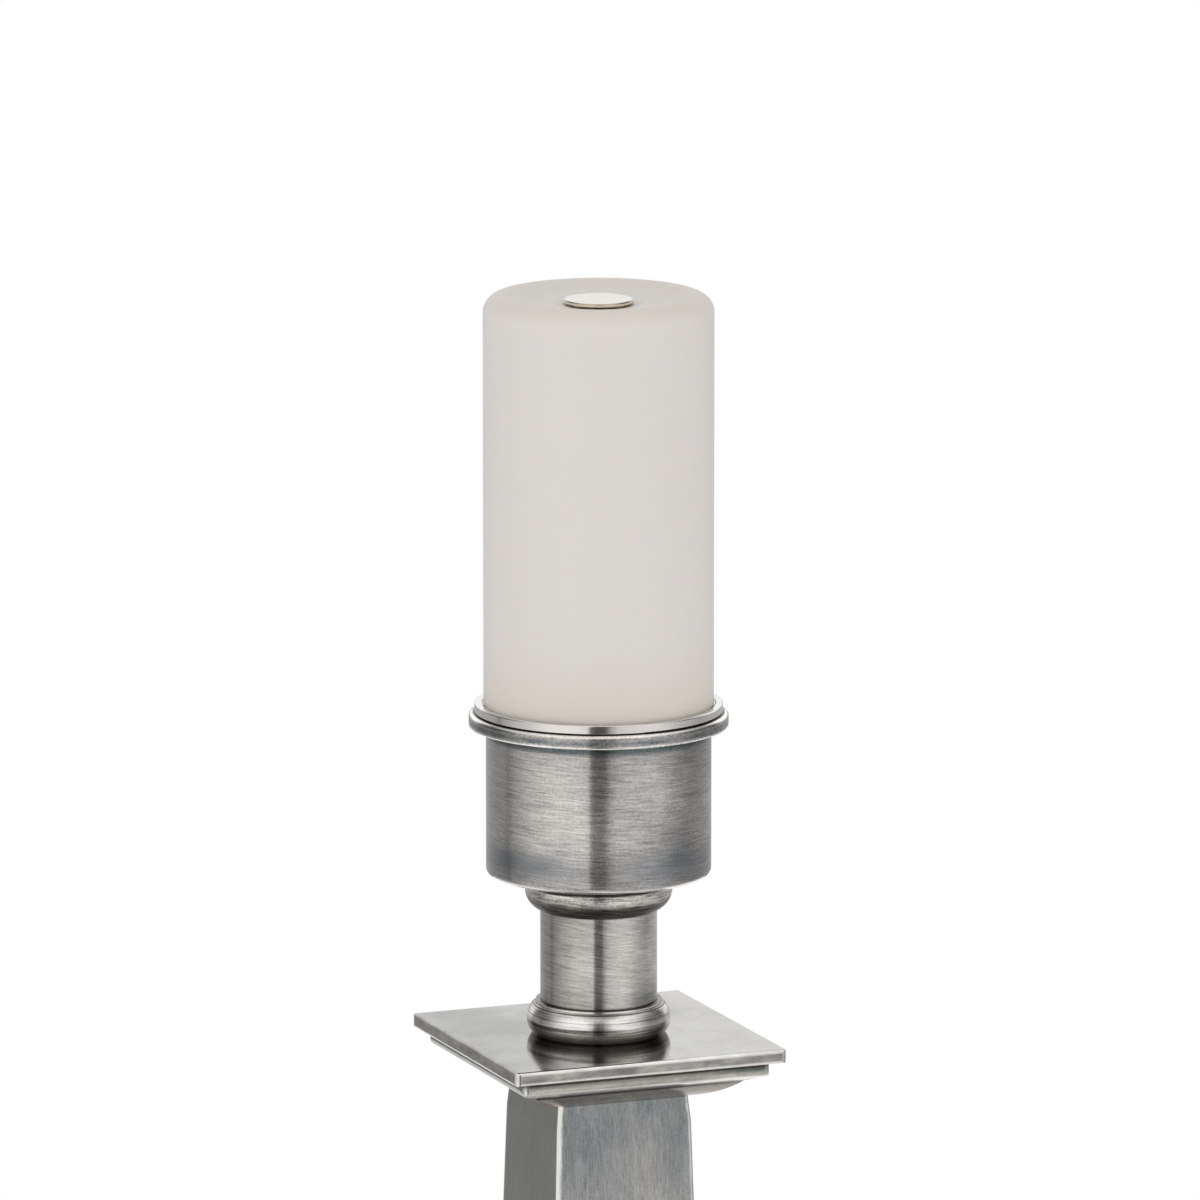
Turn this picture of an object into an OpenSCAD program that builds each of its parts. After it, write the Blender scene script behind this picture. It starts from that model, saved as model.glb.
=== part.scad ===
// Cordless table lamp. An opal glass light unit stands in a cup on a square metal stand.
// The unit lifts out of the cup to be charged, and the disc on the glass is pressed to switch it.
// Origin: the middle of the felt pad's underside, with +Z up and the square's sides along X and Y.

/* [Foot] */
// Side of the square foot
foot_w = 120; // [112:1:140]
// Height of the foot
foot_h = 14; // [13:0.5:20]
// Wall round the foot's hollow
foot_wall = 4; // [3:0.5:5]
// Thickness of the foot's top
foot_top = 3; // [2.5:0.5:3.5]
// Rounding of the foot's long edges
foot_ease = 1.2; // [0.8:0.1:2]
// Thickness of the felt pad
pad_t = 1.5; // [1:0.5:3]
// How far the felt pad stays inside the foot
pad_inset = 3; // [2:0.5:6]
// Thickness of the plate that closes the foot
cover_t = 2; // [1.5:0.1:2.2]
// Radius of the screw posts in the foot's corners
post_r = 5; // [4:0.5:6]
// Length of the foot's screws
foot_screw_l = 8; // [6:0.5:9]
// Distance that the plinth steps in from the foot, each side
plinth_step = 9; // [6:0.5:10]
// Height of the plinth
plinth_h = 9; // [6:0.5:14]
// Rounding of the plinth's long edges
plinth_ease = 1; // [0.6:0.1:2]

/* [Base moulding] */
// Distance that the moulding steps in from the plinth, each side
base_step = 5; // [3:0.5:6]
// Height of the moulding over the plinth
base_h = 22; // [20:0.5:28]
// Height of its upright band
base_band_h = 4; // [3:0.5:6]
// Radius of the round that ends the band
base_round_r = 4; // [3:0.5:5]
// Distance from the band in to the crease, each side
base_crease_in = 9; // [8:0.5:10]
// Height of the crease
base_crease_h = 11; // [10:0.5:12]
// Radius of the swelling between the crease and the column
base_swell_r = 30; // [24:1:50]

/* [Column] */
// Height of the column that shows
col_h = 245; // [180:1:300]
// Side of the column at its foot
col_foot_w = 54.4; // [50:0.2:56]
// Side of the column where its straight taper ends
col_shoulder_w = 40.7; // [38:0.1:42]
// Side of the column at its top
col_top_w = 39.2; // [37:0.2:40]
// Length of the softened stretch at the column's top
col_shoulder_h = 7.5; // [5:0.5:12]
// Wall of the column
col_wall = 1.6; // [1.2:0.1:2.4]
// Flat cut along the column's four corners, measured on the diagonal
col_corner = 0.5; // [0.3:0.1:1]
// Height of the spigots that centre the column
spigot_h = 5; // [3:0.5:8]
// Clearance of the spigots
spigot_gap = 0.2; // [0.1:0.05:0.4]

/* [Plate and its moulding] */
// Side of the square plate
slab_w = 82.2; // [78:0.1:90]
// Thickness of the plate
slab_h = 4; // [3:0.1:5]
// Rounding of the plate's long edges
slab_ease = 0.9; // [0.5:0.1:1.2]
// Rounding of the plate's four corners, seen from above
slab_corner_r = 2; // [0.8:0.1:3]
// Rounding of the two mouldings' corners, seen from above
moulding_corner_r = 2.2; // [0.8:0.1:2.5]
// Distance that the moulding steps in from the plate, each side
cap_step = 3.6; // [2.5:0.1:4]
// Height of the moulding under the plate
cap_h = 12; // [11:0.5:15]
// Height of its upright band
cap_band_h = 2.2; // [1.8:0.1:3]
// Radius of the round that ends the band
cap_round_r = 2.5; // [2:0.1:3]
// Distance from the band in to the crease, each side
cap_crease_in = 6; // [5:0.5:7]
// Height of the crease under the plate
cap_crease_h = 6.25; // [5.75:0.25:6.75]
// Radius of the swelling between the crease and the column
cap_swell_r = 23.4; // [18:0.2:40]

/* [Turned neck] */
// Height of the turned collar on the plate
collar_h = 9.5; // [8:0.5:12]
// Radius of the collar where it stands on the plate
collar_foot_r = 18.3; // [17.8:0.1:20]
// Radius of the upper end of the collar's swelling
collar_top_r = 18.2; // [17.6:0.1:20]
// How far the collar's swelling stands out
collar_swell = 2.2; // [1.4:0.1:3]
// Height of the narrow lip on the collar
collar_lip_h = 0.6; // [0.4:0.1:1.2]
// Distance that the lip steps in from the swelling's upper end
collar_lip_in = 0.3; // [0.2:0.1:0.5]
// Diameter of the neck tube
neck_d = 33.1; // [31:0.1:34]
// Wall of the neck tube
neck_wall = 1.5; // [1:0.1:2.5]
// Height of the neck tube that shows
neck_h = 26.6; // [18:0.2:50]
// Depth that the neck tube stands in at either end
socket_depth = 4; // [3:0.5:6]
// Clearance of a turned piece in its seat
seat_gap = 0.05; // [0.05:0.01:0.1]
// Diameter of the collar under the cup
bead_d = 41.8; // [40:0.1:46]
// Height of the collar under the cup
bead_h = 10.1; // [9:0.1:14]
// Radius of its lower round, in section
bead_round_r = 6.1; // [5.6:0.1:8.6]
// Flat that the round leaves beside the neck tube
bead_lip = 0.4; // [0.2:0.1:0.6]

/* [Cup] */
// Diameter of the cup
cup_d = 63.7; // [63.2:0.1:65]
// Wall of the cup
cup_wall = 1.2; // [1:0.1:1.4]
// Thickness of the cup's floor
cup_floor = 2; // [1.6:0.1:2.4]
// Rounding of the cup's lower edge
cup_edge_r = 1.7; // [1.6:0.1:3]
// Diameter of the flange
flange_d = 73.4; // [72:0.1:78]
// Height of the flange
flange_h = 3.8; // [3:0.1:5]
// Rounding of the flange's upper edge
flange_ease = 1.2; // [0.6:0.1:2]
// Rounding of the flange's lower edge
flange_under_ease = 0.4; // [0.3:0.1:0.8]
// Distance from the cup's bore to the groove for the seat ring
groove_in = 1.2; // [1:0.1:1.6]
// Width of the groove
groove_w = 2.4; // [2:0.1:2.8]
// Depth of the groove
groove_depth = 0.8; // [0.6:0.1:1.2]
// How far the seat ring stands out of its groove
seat_rise = 0.2; // [0.15:0.05:0.4]

/* [Tie rod] */
// Diameter of the rod
rod_d = 8; // [6:0.5:9]
// Clearance round the rod in the pieces that it draws together
rod_gap = 0.2; // [0.1:0.05:0.4]
// Diameter of the washer under the foot's top
washer_d = 22; // [18:1:26]
// Thickness of that washer
washer_t = 1.6; // [1.2:0.1:1.8]
// Width across the points of the hexagonal nut
nut_d = 15; // [14:0.5:17]
// Height of the hexagonal nut
nut_h = 5; // [3:0.5:5.2]
// Thread that stands past the hexagonal nut
rod_past = 1; // [0.5:0.1:1.2]
// Diameter of the low nut in the cup
cup_nut_d = 18; // [14:1:24]
// Height of the low nut in the cup
cup_nut_h = 2.5; // [2:0.1:3]

/* [Glass] */
// Diameter of the glass
glass_d = 65; // [64.4:0.1:66]
// Height of the glass from its foot to its crest
glass_h = 117.4; // [90:0.2:140]
// Wall of the glass
glass_wall = 3; // [2.6:0.1:3.2]
// Radius of the glass's upper edge, in section
shoulder_r = 5.2; // [4:0.1:8]
// Depth of the hollow in the glass's top
dish_depth = 3.4; // [2.6:0.1:4.4]
// Diameter of the sunk seat in the middle of the glass's top
sink_d = 16.4; // [15.6:0.1:17]
// Depth of the sunk seat
sink_depth = 1.5; // [1.4:0.1:1.7]
// Clearance round the tube where it passes through the glass
glass_hole_gap = 0.4; // [0.3:0.1:0.8]
// Thickness of the soft ring under the glass
gasket_t = 0.5; // [0.3:0.1:0.8]

/* [Ring] */
// Diameter of the polished ring
ring_d = 70.1; // [69.6:0.1:72]
// Height of the polished ring
ring_h = 2.55; // [2.2:0.05:4]
// Clearance between the ring and the glass
ring_gap = 0.4; // [0.2:0.05:0.5]
// Thickness of the ring's floor
ring_floor = 1.2; // [1:0.1:1.5]
// Rounding of the ring's edges
ring_ease = 0.35; // [0.2:0.05:0.6]
// Radius of the opening in the ring's floor
ring_bore_r = 24.5; // [24.2:0.1:24.7]

/* [Battery can] */
// Clearance of the can in the cup
can_gap = 0.75; // [0.4:0.05:1]
// Wall of the can
can_wall = 1.2; // [1:0.1:1.4]
// Thickness of the can's upper rim
can_rim_t = 1.5; // [1.2:0.1:1.8]
// Clearance between the low nut and the can
can_floor_gap = 1; // [0.4:0.1:1.2]
// Thickness of the can's cover
can_cover_t = 1.4; // [1.2:0.1:1.8]
// Radius of the cover's screw posts
can_post_r = 2; // [1.8:0.1:2.1]
// Height of the cover's screw posts
can_post_h = 8; // [6:0.5:12]
// Diameter of one battery cell
cell_d = 18.35; // [18:0.05:18.4]
// Length of one battery cell
cell_h = 35.1; // [34:0.1:70]
// Radius of the circle on which the cells lie
cell_at = 13.2; // [13.1:0.05:13.5]
// Outer radius of the cells' carrier
holder_r = 24.4; // [24.2:0.1:24.6]
// Wall of the cells' carrier
holder_wall = 1.3; // [1:0.1:1.5]
// Floor of the cells' carrier
holder_floor = 1.2; // [1:0.1:1.6]
// Radius of the post between the cells
holder_post_r = 3.7; // [3:0.1:3.8]
// Thickness of the strips that join the cells
strip_t = 0.3; // [0.2:0.05:0.5]
// Width of those strips
strip_w = 6; // [4:0.5:8]
// Width of the charging socket
port_w = 9; // [8.4:0.1:9.4]
// Thickness of the charging socket
port_t = 3.2; // [3:0.1:3.4]
// Depth of the charging socket
port_h = 8; // [6:0.5:10]

/* [Boards and heat plate] */
// Radius of the control board
board_r = 24; // [23.6:0.1:24.2]
// Thickness of the control board
board_t = 1.2; // [1:0.1:1.3]
// Side of the push switch's body
switch_w = 6; // [5:0.5:8]
// Height of the push switch's body
switch_h = 2.4; // [2:0.1:2.5]
// Clearance between the heat plate and the glass
plate_gap = 0.5; // [0.3:0.1:0.8]
// Thickness of the heat plate
plate_t = 2; // [1.6:0.1:3]
// Radius of the light board
led_board_r = 24; // [20:0.5:24.5]
// Thickness of the light board
led_board_t = 1.2; // [1:0.1:1.6]
// Number of light chips
led_count = 12; // [6:1:18]
// Radius of the circle on which the light chips lie
led_at = 16; // [12:0.5:20]

/* [Press cap] */
// Diameter of the disc on the glass
disc_d = 19.4; // [17:0.1:21]
// Thickness of the disc
disc_t = 1.05; // [0.95:0.05:1.6]
// Height of the disc's underside over the middle of the glass
disc_rise = 1; // [0.9:0.05:1.4]
// Travel of the disc when it is pressed
press_travel = 0.4; // [0.25:0.05:0.45]
// Diameter of the push rod
push_d = 3; // [2.4:0.1:3.4]
// Clearance of the push rod in its tube
push_gap = 0.1; // [0.05:0.01:0.1]
// Wall of the tube
tube_wall = 1.4; // [1.2:0.1:1.5]

/* [Hidden] */
$fn = 96;

// Small lengths that cut clean through a face or lap a seam
over = 1;
lap = 0.5;
// Share of a round's radius at which a slope meets it, so that they cross and don't only touch
snug = 0.998;

// Levels of the stand, from the floor up
foot_z = pad_t;
plinth_z = foot_z + foot_h;
base_z = plinth_z + plinth_h;
col_z = base_z + base_h;
cap_z = col_z + col_h;
slab_z = cap_z + cap_h;
top_z = slab_z + slab_h;
neck_z = top_z + collar_h;
bead_z = neck_z + neck_h;
cup_z = bead_z + bead_h;
cup_floor_z = cup_z + cup_floor;
cup_nut_top_z = cup_floor_z + cup_nut_h;

// Levels of the light unit, which set how deep the cup is
under_rim_gap = 0.1;
can_z = cup_nut_top_z + can_floor_gap;
can_cover_top_z = can_z + can_cover_t;
strip_z = can_cover_top_z + holder_floor;
cell_z = strip_z + strip_t;
top_strip_z = cell_z + cell_h;
board_z = top_strip_z + strip_t;
switch_z = board_z + board_t;
can_rim_z = switch_z + under_rim_gap;
rim_z = can_rim_z + can_rim_t;
flange_z = rim_z - seat_rise - flange_h;
cup_h = flange_z - cup_z;

// Foot
hollow_w = foot_w - 2 * foot_wall;
hollow_top_z = plinth_z - foot_top;
hollow_r = 3;
cover_gap = 0.3;
weight_gap = 0.8;
cover_top_z = foot_z + cover_t;
post_bite = 1;
post_at = hollow_w / 2 - post_r + post_bite;
pad_corner_r = 4;
screw_head_r = 3.1;
screw_r = 1.5;
screw_gap = 0.05;
socket_r = 1.2;
socket_t = 0.8;
plinth_w = foot_w - 2 * plinth_step;
base_w = plinth_w - 2 * base_step;

// Plate
cap_w = slab_w - 2 * cap_step;

// Neck and cup
neck_r = neck_d / 2;
neck_seat_r = neck_r + seat_gap;
bead_r = bead_d / 2;
bead_curl_x = bead_r - bead_round_r;
bead_curl_z = sqrt(pow(bead_round_r, 2) - pow(neck_seat_r + bead_lip - bead_curl_x, 2));
cup_r = cup_d / 2;
cup_bore_r = cup_r - cup_wall;
groove_r = cup_bore_r + groove_in;

// Tie rod
rod_r = rod_d / 2;
rod_hole_r = rod_r + rod_gap;
nut_hole_r = rod_r + seat_gap;
washer_z = hollow_top_z - washer_t;
nut_z = washer_z - nut_h;
rod_z = nut_z - rod_past;
weight_clear = 1.5;
weight_hole_r = washer_d / 2 + weight_clear;
cup_nut_slot_w = 2.4;

// Glass
glass_foot_z = rim_z + ring_floor + gasket_t;
crest_x = glass_d / 2 - shoulder_r;
crest_reach = (pow(crest_x, 2) + pow(dish_depth, 2)) / (2 * dish_depth);
dish_r = crest_reach - shoulder_r;
shoulder = [crest_x, glass_h - shoulder_r];
dish_centre = [0, glass_h - dish_depth + dish_r];
crest_turn = [-crest_x, crest_reach - dish_depth] / crest_reach;
dish_z = glass_foot_z + glass_h - dish_depth;
sink_z = dish_z - sink_depth;

// Battery can
can_r = cup_bore_r - can_gap;
can_bore_r = can_r - can_wall;
can_post_bite = 0.2;
can_post_at = can_bore_r - can_post_r + can_post_bite;
can_post_angles = [30, 150, 270];
small_screw_r = 1;
small_head_r = 1.9;
small_head_h = 1.3;
small_key_r = 0.7;
small_key_t = 0.6;
small_gap = 0.1;
head_room = 0.5;
unit_screw_at = can_bore_r - small_head_r - head_room;
unit_screw_l = 4;
port_angle = 90;
port_clear = 0.6;
port_at = can_bore_r - port_t / 2 - port_clear;
port_shell = 0.35;
port_back = 1.5;
tongue_t = 0.7;
tongue_in = 1.2;
tongue_z = 1;
cell_button_h = 0.6;
cell_button_r = 3.2;
strip_past = 4;

// Boards and heat plate
spreader_z = rim_z + ring_floor;
plate_r = glass_d / 2 - glass_wall - plate_gap;
spreader_top_z = spreader_z + plate_t;
led_top_z = spreader_top_z + led_board_t;
led_w = 2.8;
led_t = 0.6;

// Tube, rod and press cap
push_r = push_d / 2;
tube_bore_r = push_r + push_gap;
tube_r = tube_bore_r + tube_wall;
tube_seat_r = tube_r + seat_gap;
tube_nut_r = 6;
tube_nut_h = 2.5;
led_board_hole_r = 7.5;
top_washer_t = 0.5;
top_nut_gap = 0.6;
disc_z = dish_z + disc_rise;
disc_ease = 0.35;
push_into_disc = 0.5;
push_in_tube = 0.1;
push_z = spreader_z + push_in_tube;
plunger_r = 1.4;
plunger_lift = 0.8;
plunger_z = switch_z + plunger_lift;
plunger_spare = 0.15;
plunger_room = press_travel + plunger_spare;

// Colours of the finishes
pewter = [0.56, 0.55, 0.53];
dark_pewter = [0.44, 0.42, 0.4];
polished = [0.9, 0.89, 0.87];
opal = [0.85, 0.84, 0.82];
zinc = [0.72, 0.73, 0.74];
soft_black = [0.12, 0.12, 0.12];
iron = [0.3, 0.3, 0.31];
sleeve_blue = [0.2, 0.42, 0.5];
board_green = [0.1, 0.3, 0.16];
board_white = [0.92, 0.92, 0.9];
chip_yellow = [0.95, 0.85, 0.4];
plunger_red = [0.7, 0.15, 0.12];

// Centre of the circle of radius r through p and q, on the left of the way from p to q
function arc_centre(p, q, r) =
    let (d = q - p, l = norm(d), n = [-d.y, d.x] / l)
    (p + q) / 2 + n * sqrt(r * r - l * l / 4);

// Point where the line from p touches the circle of radius r about c, on the circle's outer upper side
function touch_point(p, c, r) =
    let (d = p - c, l = norm(d), a = atan2(d.y, d.x) - acos(r / l))
    c + r * [cos(a), sin(a)];

// Radius of the arc from p to q that stands out that far in its middle
function arc_radius(p, q, out) = (pow(norm(q - p) / 2, 2) + pow(out, 2)) / (2 * out);

// The disc of radius r whose edge passes through p and q, kept between their heights
module bulge(p, q, r, below = 0) {
    intersection() {
        translate(arc_centre(p, q, r)) circle(r);
        translate([-over, p.y - below]) square([p.x + r, q.y - p.y + below]);
    }
}

// Solid of square plan whose four sides all have the outline given, mitred at the corners
module mitred(w) {
    intersection_for (turn = [0, 90]) rotate([90, 0, turn]) linear_extrude(2 * w, center = true) children();
}

// Outline made of a half outline and its mirror image
module both_sides() {
    children();
    mirror([1, 0]) children();
}

// Square of side w with corners of radius r
module soft_square(w, r) {
    square([w - 2 * r, w], center = true);
    square([w, w - 2 * r], center = true);
    for (x = [-1, 1], y = [-1, 1]) translate([x, y] * (w / 2 - r)) circle(r);
}

// Half outline of a plate with rounded long edges
module eased_half(half, h, r) {
    translate([-over, 0]) square([half - r + over, h]);
    translate([-over, r]) square([half + over, h - 2 * r]);
    for (y = [r, h - r]) translate([half - r, y]) circle(r);
}

// Square plate with rounded long edges and upright corners of radius corner_r
module soft_plate(w, h, r, corner_r) {
    intersection() {
        mitred(w) both_sides() eased_half(w / 2, h, r);
        linear_extrude(h) soft_square(w, corner_r);
    }
}

// Half outline of the stepped moulding, standing on its wide end: an upright band, a round, a slope
// to the crease, and a swelling that draws in to the column
module moulding_half(wide, narrow, h, band_h, round_r, crease_in, crease_h, swell_r) {
    crease = [wide - crease_in, crease_h];
    round_at = [wide - round_r, band_h];
    leave = touch_point(crease, round_at, round_r * snug);
    under = crease + (crease - leave) / norm(crease - leave) * lap;
    polygon([[-over, 0], [wide, 0], [wide, band_h], round_at, leave, under, [-over, under.y]]);
    translate(round_at) intersection() {
        circle(round_r);
        square(round_r);
    }
    translate([-over, crease_h - lap]) square([narrow - lap + over, h - crease_h + lap]);
    bulge(crease, [narrow, h], swell_r, lap);
}

// Square moulding with that outline on its four sides and rounded corners
module moulding(w, narrow, h, band_h, round_r, crease_in, crease_h, swell_r) {
    intersection() {
        mitred(w) both_sides()
            moulding_half(w / 2, narrow / 2, h, band_h, round_r, crease_in, crease_h, swell_r);
        linear_extrude(h) soft_square(w, moulding_corner_r);
    }
}

// Outline of the column, spread sideways, drawn in by cut at each side, and run on past both ends
module column_outline(spread, cut, past) {
    side = [
        [col_foot_w / 2, -past], [col_foot_w / 2, 0], [col_shoulder_w / 2, col_h - col_shoulder_h],
        [col_top_w / 2, col_h], [col_top_w / 2, col_h + past],
    ];
    right = [for (p = side) [p.x * spread - cut, p.y]];
    left = [for (i = [len(right) - 1:-1:0]) [-right[i].x, right[i].y]];
    polygon(concat(right, left));
}

// Half side of the column's hollow at the height z over its foot
function hollow_at(z) =
    let (t = min(z / (col_h - col_shoulder_h), 1))
    (col_foot_w + (col_shoulder_w - col_foot_w) * t) / 2 - col_wall;

// Round can, closed below, with its lower edge rounded
module can_half(r, h, edge_r) {
    square([r - edge_r, h]);
    translate([0, edge_r]) square([r, h - edge_r]);
    translate([r - edge_r, edge_r]) circle(edge_r);
}

// Round ring with a bore
module ring(r, bore_r, h) {
    difference() {
        cylinder(r = r, h = h);
        translate([0, 0, -over]) cylinder(r = bore_r, h = h + 2 * over);
    }
}

// Copies on the four corners of a square, a from the middle
module at_corners(a) {
    for (x = [-1, 1], y = [-1, 1]) translate([x * a, y * a, 0]) children();
}

// Copies on a circle of radius r at the angles listed
module at_angles(r, angles) {
    for (a = angles) rotate(a) translate([r, 0, 0]) children();
}

// Countersunk screw, head down at z = 0, swollen by grow where it cuts its hole
module countersunk(head_r, shank_r, length, grow = 0) {
    head_h = head_r - shank_r;
    rotate_extrude() polygon([
        [0, -grow], [head_r + grow, -grow], [head_r + grow, 0],
        [shank_r + grow, head_h], [shank_r + grow, length + grow], [0, length + grow],
    ]);
}

// Felt pad, glued under the foot
module base_pad() {
    color(soft_black) linear_extrude(pad_t) soft_square(foot_w - 2 * pad_inset, pad_corner_r);
}

// Plate that closes the foot and carries the ballast
module base_cover() {
    color(zinc) translate([0, 0, foot_z]) difference() {
        linear_extrude(cover_t) soft_square(hollow_w - 2 * cover_gap, hollow_r - cover_gap);
        at_corners(post_at) countersunk(screw_head_r, screw_r, foot_screw_l, screw_gap);
    }
}

// Four screws through the plate into the foot's posts
module base_screws() {
    color(zinc) translate([0, 0, foot_z]) at_corners(post_at) difference() {
        countersunk(screw_head_r, screw_r, foot_screw_l);
        translate([0, 0, -over]) cylinder(r = socket_r, h = socket_t + over, $fn = 6);
    }
}

// Ballast plate, notched for the posts and open round the nut
module base_weight() {
    color(iron) translate([0, 0, cover_top_z]) difference() {
        linear_extrude(hollow_top_z - cover_top_z) soft_square(hollow_w - 2 * weight_gap, hollow_r);
        translate([0, 0, -over]) linear_extrude(foot_h) at_corners(hollow_w / 2)
            square(2 * (2 * post_r + weight_gap), center = true);
        translate([0, 0, -over]) cylinder(r = weight_hole_r, h = foot_h);
    }
}

// Hollow square foot with a screw post in each corner
module base_foot() {
    color(pewter) translate([0, 0, foot_z]) difference() {
        soft_plate(foot_w, foot_h, foot_ease, foot_ease * 2);
        difference() {
            translate([0, 0, -over]) linear_extrude(foot_h - foot_top + over) soft_square(hollow_w, hollow_r);
            translate([0, 0, cover_t]) linear_extrude(foot_h) at_corners(post_at) circle(post_r);
        }
        at_corners(post_at) cylinder(r = screw_r + screw_gap, h = foot_screw_l + lap);
        cylinder(r = rod_hole_r, h = foot_h + over);
    }
}

// Square step on the foot
module base_plinth() {
    color(pewter) translate([0, 0, plinth_z]) difference() {
        soft_plate(plinth_w, plinth_h, plinth_ease, plinth_ease * 2);
        translate([0, 0, -over]) cylinder(r = rod_hole_r, h = plinth_h + 2 * over);
    }
}

// Stepped moulding at the column's foot, with the spigot that centres the column
module base_moulding() {
    spigot = hollow_at(spigot_h) - spigot_gap;
    color(dark_pewter) translate([0, 0, base_z]) difference() {
        union() {
            moulding(base_w, col_foot_w, base_h, base_band_h, base_round_r, base_crease_in, base_crease_h,
                base_swell_r);
            translate([0, 0, base_h - lap]) linear_extrude(spigot_h + lap) square(2 * spigot, center = true);
        }
        translate([0, 0, -over]) cylinder(r = rod_hole_r, h = base_h + spigot_h + 2 * over);
    }
}

// Tapered square column, hollow, with softened corners and a slight shoulder at the top
module column() {
    color(pewter) translate([0, 0, col_z]) difference() {
        intersection() {
            mitred(col_foot_w) column_outline(1, 0, 0);
            rotate(45) mitred(col_foot_w) column_outline(sqrt(2), col_corner, 0);
        }
        mitred(col_foot_w) column_outline(1, col_wall, over);
    }
}

// Stepped moulding under the plate, with its spigot in the column's top
module cap_moulding() {
    color(dark_pewter) translate([0, 0, slab_z]) mirror([0, 0, 1]) difference() {
        union() {
            moulding(cap_w, col_top_w, cap_h, cap_band_h, cap_round_r, cap_crease_in, cap_crease_h,
                cap_swell_r);
            translate([0, 0, cap_h - lap]) linear_extrude(spigot_h + lap)
                square(col_top_w - 2 * (col_wall + spigot_gap), center = true);
        }
        translate([0, 0, -over]) cylinder(r = rod_hole_r, h = cap_h + spigot_h + 2 * over);
    }
}

// Square plate that the neck stands on
module top_slab() {
    color(pewter) translate([0, 0, slab_z]) difference() {
        soft_plate(slab_w, slab_h, slab_ease, slab_corner_r);
        translate([0, 0, -over]) cylinder(r = rod_hole_r, h = slab_h + 2 * over);
    }
}

// Turned collar that holds the neck tube's foot, with a narrow lip on its swelling
module torus_collar() {
    swell_foot = [collar_foot_r, 0];
    swell_top = [collar_top_r, collar_h - collar_lip_h];
    color(dark_pewter) translate([0, 0, top_z]) rotate_extrude() difference() {
        union() {
            square([collar_top_r - collar_lip_in, collar_h]);
            bulge(swell_foot, swell_top, arc_radius(swell_foot, swell_top, collar_swell));
        }
        translate([-over, -over]) square([rod_hole_r + over, collar_h]);
        translate([0, collar_h - socket_depth]) square([neck_seat_r, collar_h]);
    }
}

// Brushed tube between the two collars
module neck_tube() {
    color(pewter) translate([0, 0, neck_z - socket_depth])
        ring(neck_r, neck_r - neck_wall, neck_h + 2 * socket_depth);
}

// Rounded collar that carries the cup
module bead_collar() {
    color(dark_pewter) translate([0, 0, bead_z]) rotate_extrude() difference() {
        union() {
            intersection() {
                translate([bead_curl_x, bead_curl_z]) circle(bead_round_r);
                square([bead_r, bead_curl_z + lap]);
            }
            square([bead_curl_x, bead_h]);
            translate([0, bead_curl_z]) square([bead_r, bead_h - bead_curl_z]);
        }
        translate([0, -over]) square([neck_seat_r, socket_depth + over]);
        square([rod_hole_r, bead_h + over]);
    }
}

// Turned cup that takes the light unit
module cup() {
    color(pewter) translate([0, 0, cup_z]) rotate_extrude() difference() {
        can_half(cup_r, cup_h, cup_edge_r);
        translate([0, cup_floor]) can_half(cup_bore_r, cup_h, cup_edge_r - cup_wall);
        translate([0, -over]) square([rod_hole_r, cup_floor + 2 * over]);
    }
}

// Flange on the cup's rim, grooved for the seat ring
module cup_flange() {
    flange_r = flange_d / 2;
    color(pewter) translate([0, 0, flange_z]) rotate_extrude() difference() {
        union() {
            square([flange_r - flange_ease, flange_h]);
            square([flange_r - flange_under_ease, flange_h - flange_ease]);
            translate([0, flange_under_ease]) square([flange_r, flange_h - flange_ease - flange_under_ease]);
            translate([flange_r - flange_ease, flange_h - flange_ease]) circle(flange_ease);
            translate([flange_r - flange_under_ease, flange_under_ease]) circle(flange_under_ease);
        }
        translate([0, -over]) square([cup_bore_r, flange_h + 2 * over]);
        translate([groove_r, flange_h - groove_depth]) square([groove_w, groove_depth + over]);
    }
}

// Soft ring that the light unit stands on
module seat_ring() {
    color(soft_black) translate([0, 0, flange_z + flange_h - groove_depth])
        ring(groove_r + groove_w - seat_gap, groove_r + seat_gap, groove_depth + seat_rise);
}

// Low round nut on the cup's floor, with two slots for a pin spanner
module cup_nut() {
    color(zinc) translate([0, 0, cup_floor_z]) difference() {
        ring(cup_nut_d / 2, nut_hole_r, cup_nut_h);
        for (x = [-1, 1]) translate([x * cup_nut_d / 2, 0, cup_nut_h])
            cube([cup_nut_slot_w, cup_nut_slot_w, cup_nut_h], center = true);
    }
}

// Rod that draws the stand together
module tie_rod() {
    color(zinc) translate([0, 0, rod_z]) cylinder(r = rod_r, h = cup_nut_top_z - rod_z);
}

// Washer under the foot's top
module tie_washer() {
    color(zinc) translate([0, 0, washer_z]) ring(washer_d / 2, rod_hole_r, washer_t);
}

// Hexagonal nut at the rod's lower end
module tie_nut() {
    color(zinc) translate([0, 0, nut_z]) difference() {
        cylinder(r = nut_d / 2, h = nut_h, $fn = 6);
        translate([0, 0, -over]) cylinder(r = nut_hole_r, h = nut_h + 2 * over);
    }
}

// Polished ring round the foot of the glass, with the floor that carries the glass
module rim_ring() {
    ring_r = ring_d / 2;
    inner_r = glass_d / 2 + ring_gap;
    color(polished) translate([0, 0, rim_z]) difference() {
        rotate_extrude() {
            translate([inner_r, ring_ease]) square([ring_r - inner_r, ring_h - 2 * ring_ease]);
            translate([inner_r + ring_ease, lap]) square([ring_r - inner_r - 2 * ring_ease, ring_h - lap]);
            for (x = [inner_r + ring_ease, ring_r - ring_ease])
                translate([x, ring_h - ring_ease]) circle(ring_ease);
            translate([ring_r - ring_ease, ring_ease]) circle(ring_ease);
            translate([ring_bore_r, 0]) square([ring_r - ring_ease - ring_bore_r, ring_floor]);
        }
        translate([0, 0, -over]) at_angles(unit_screw_at, can_post_angles)
            cylinder(r = small_screw_r + small_gap, h = ring_floor + 2 * over);
    }
}

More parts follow.
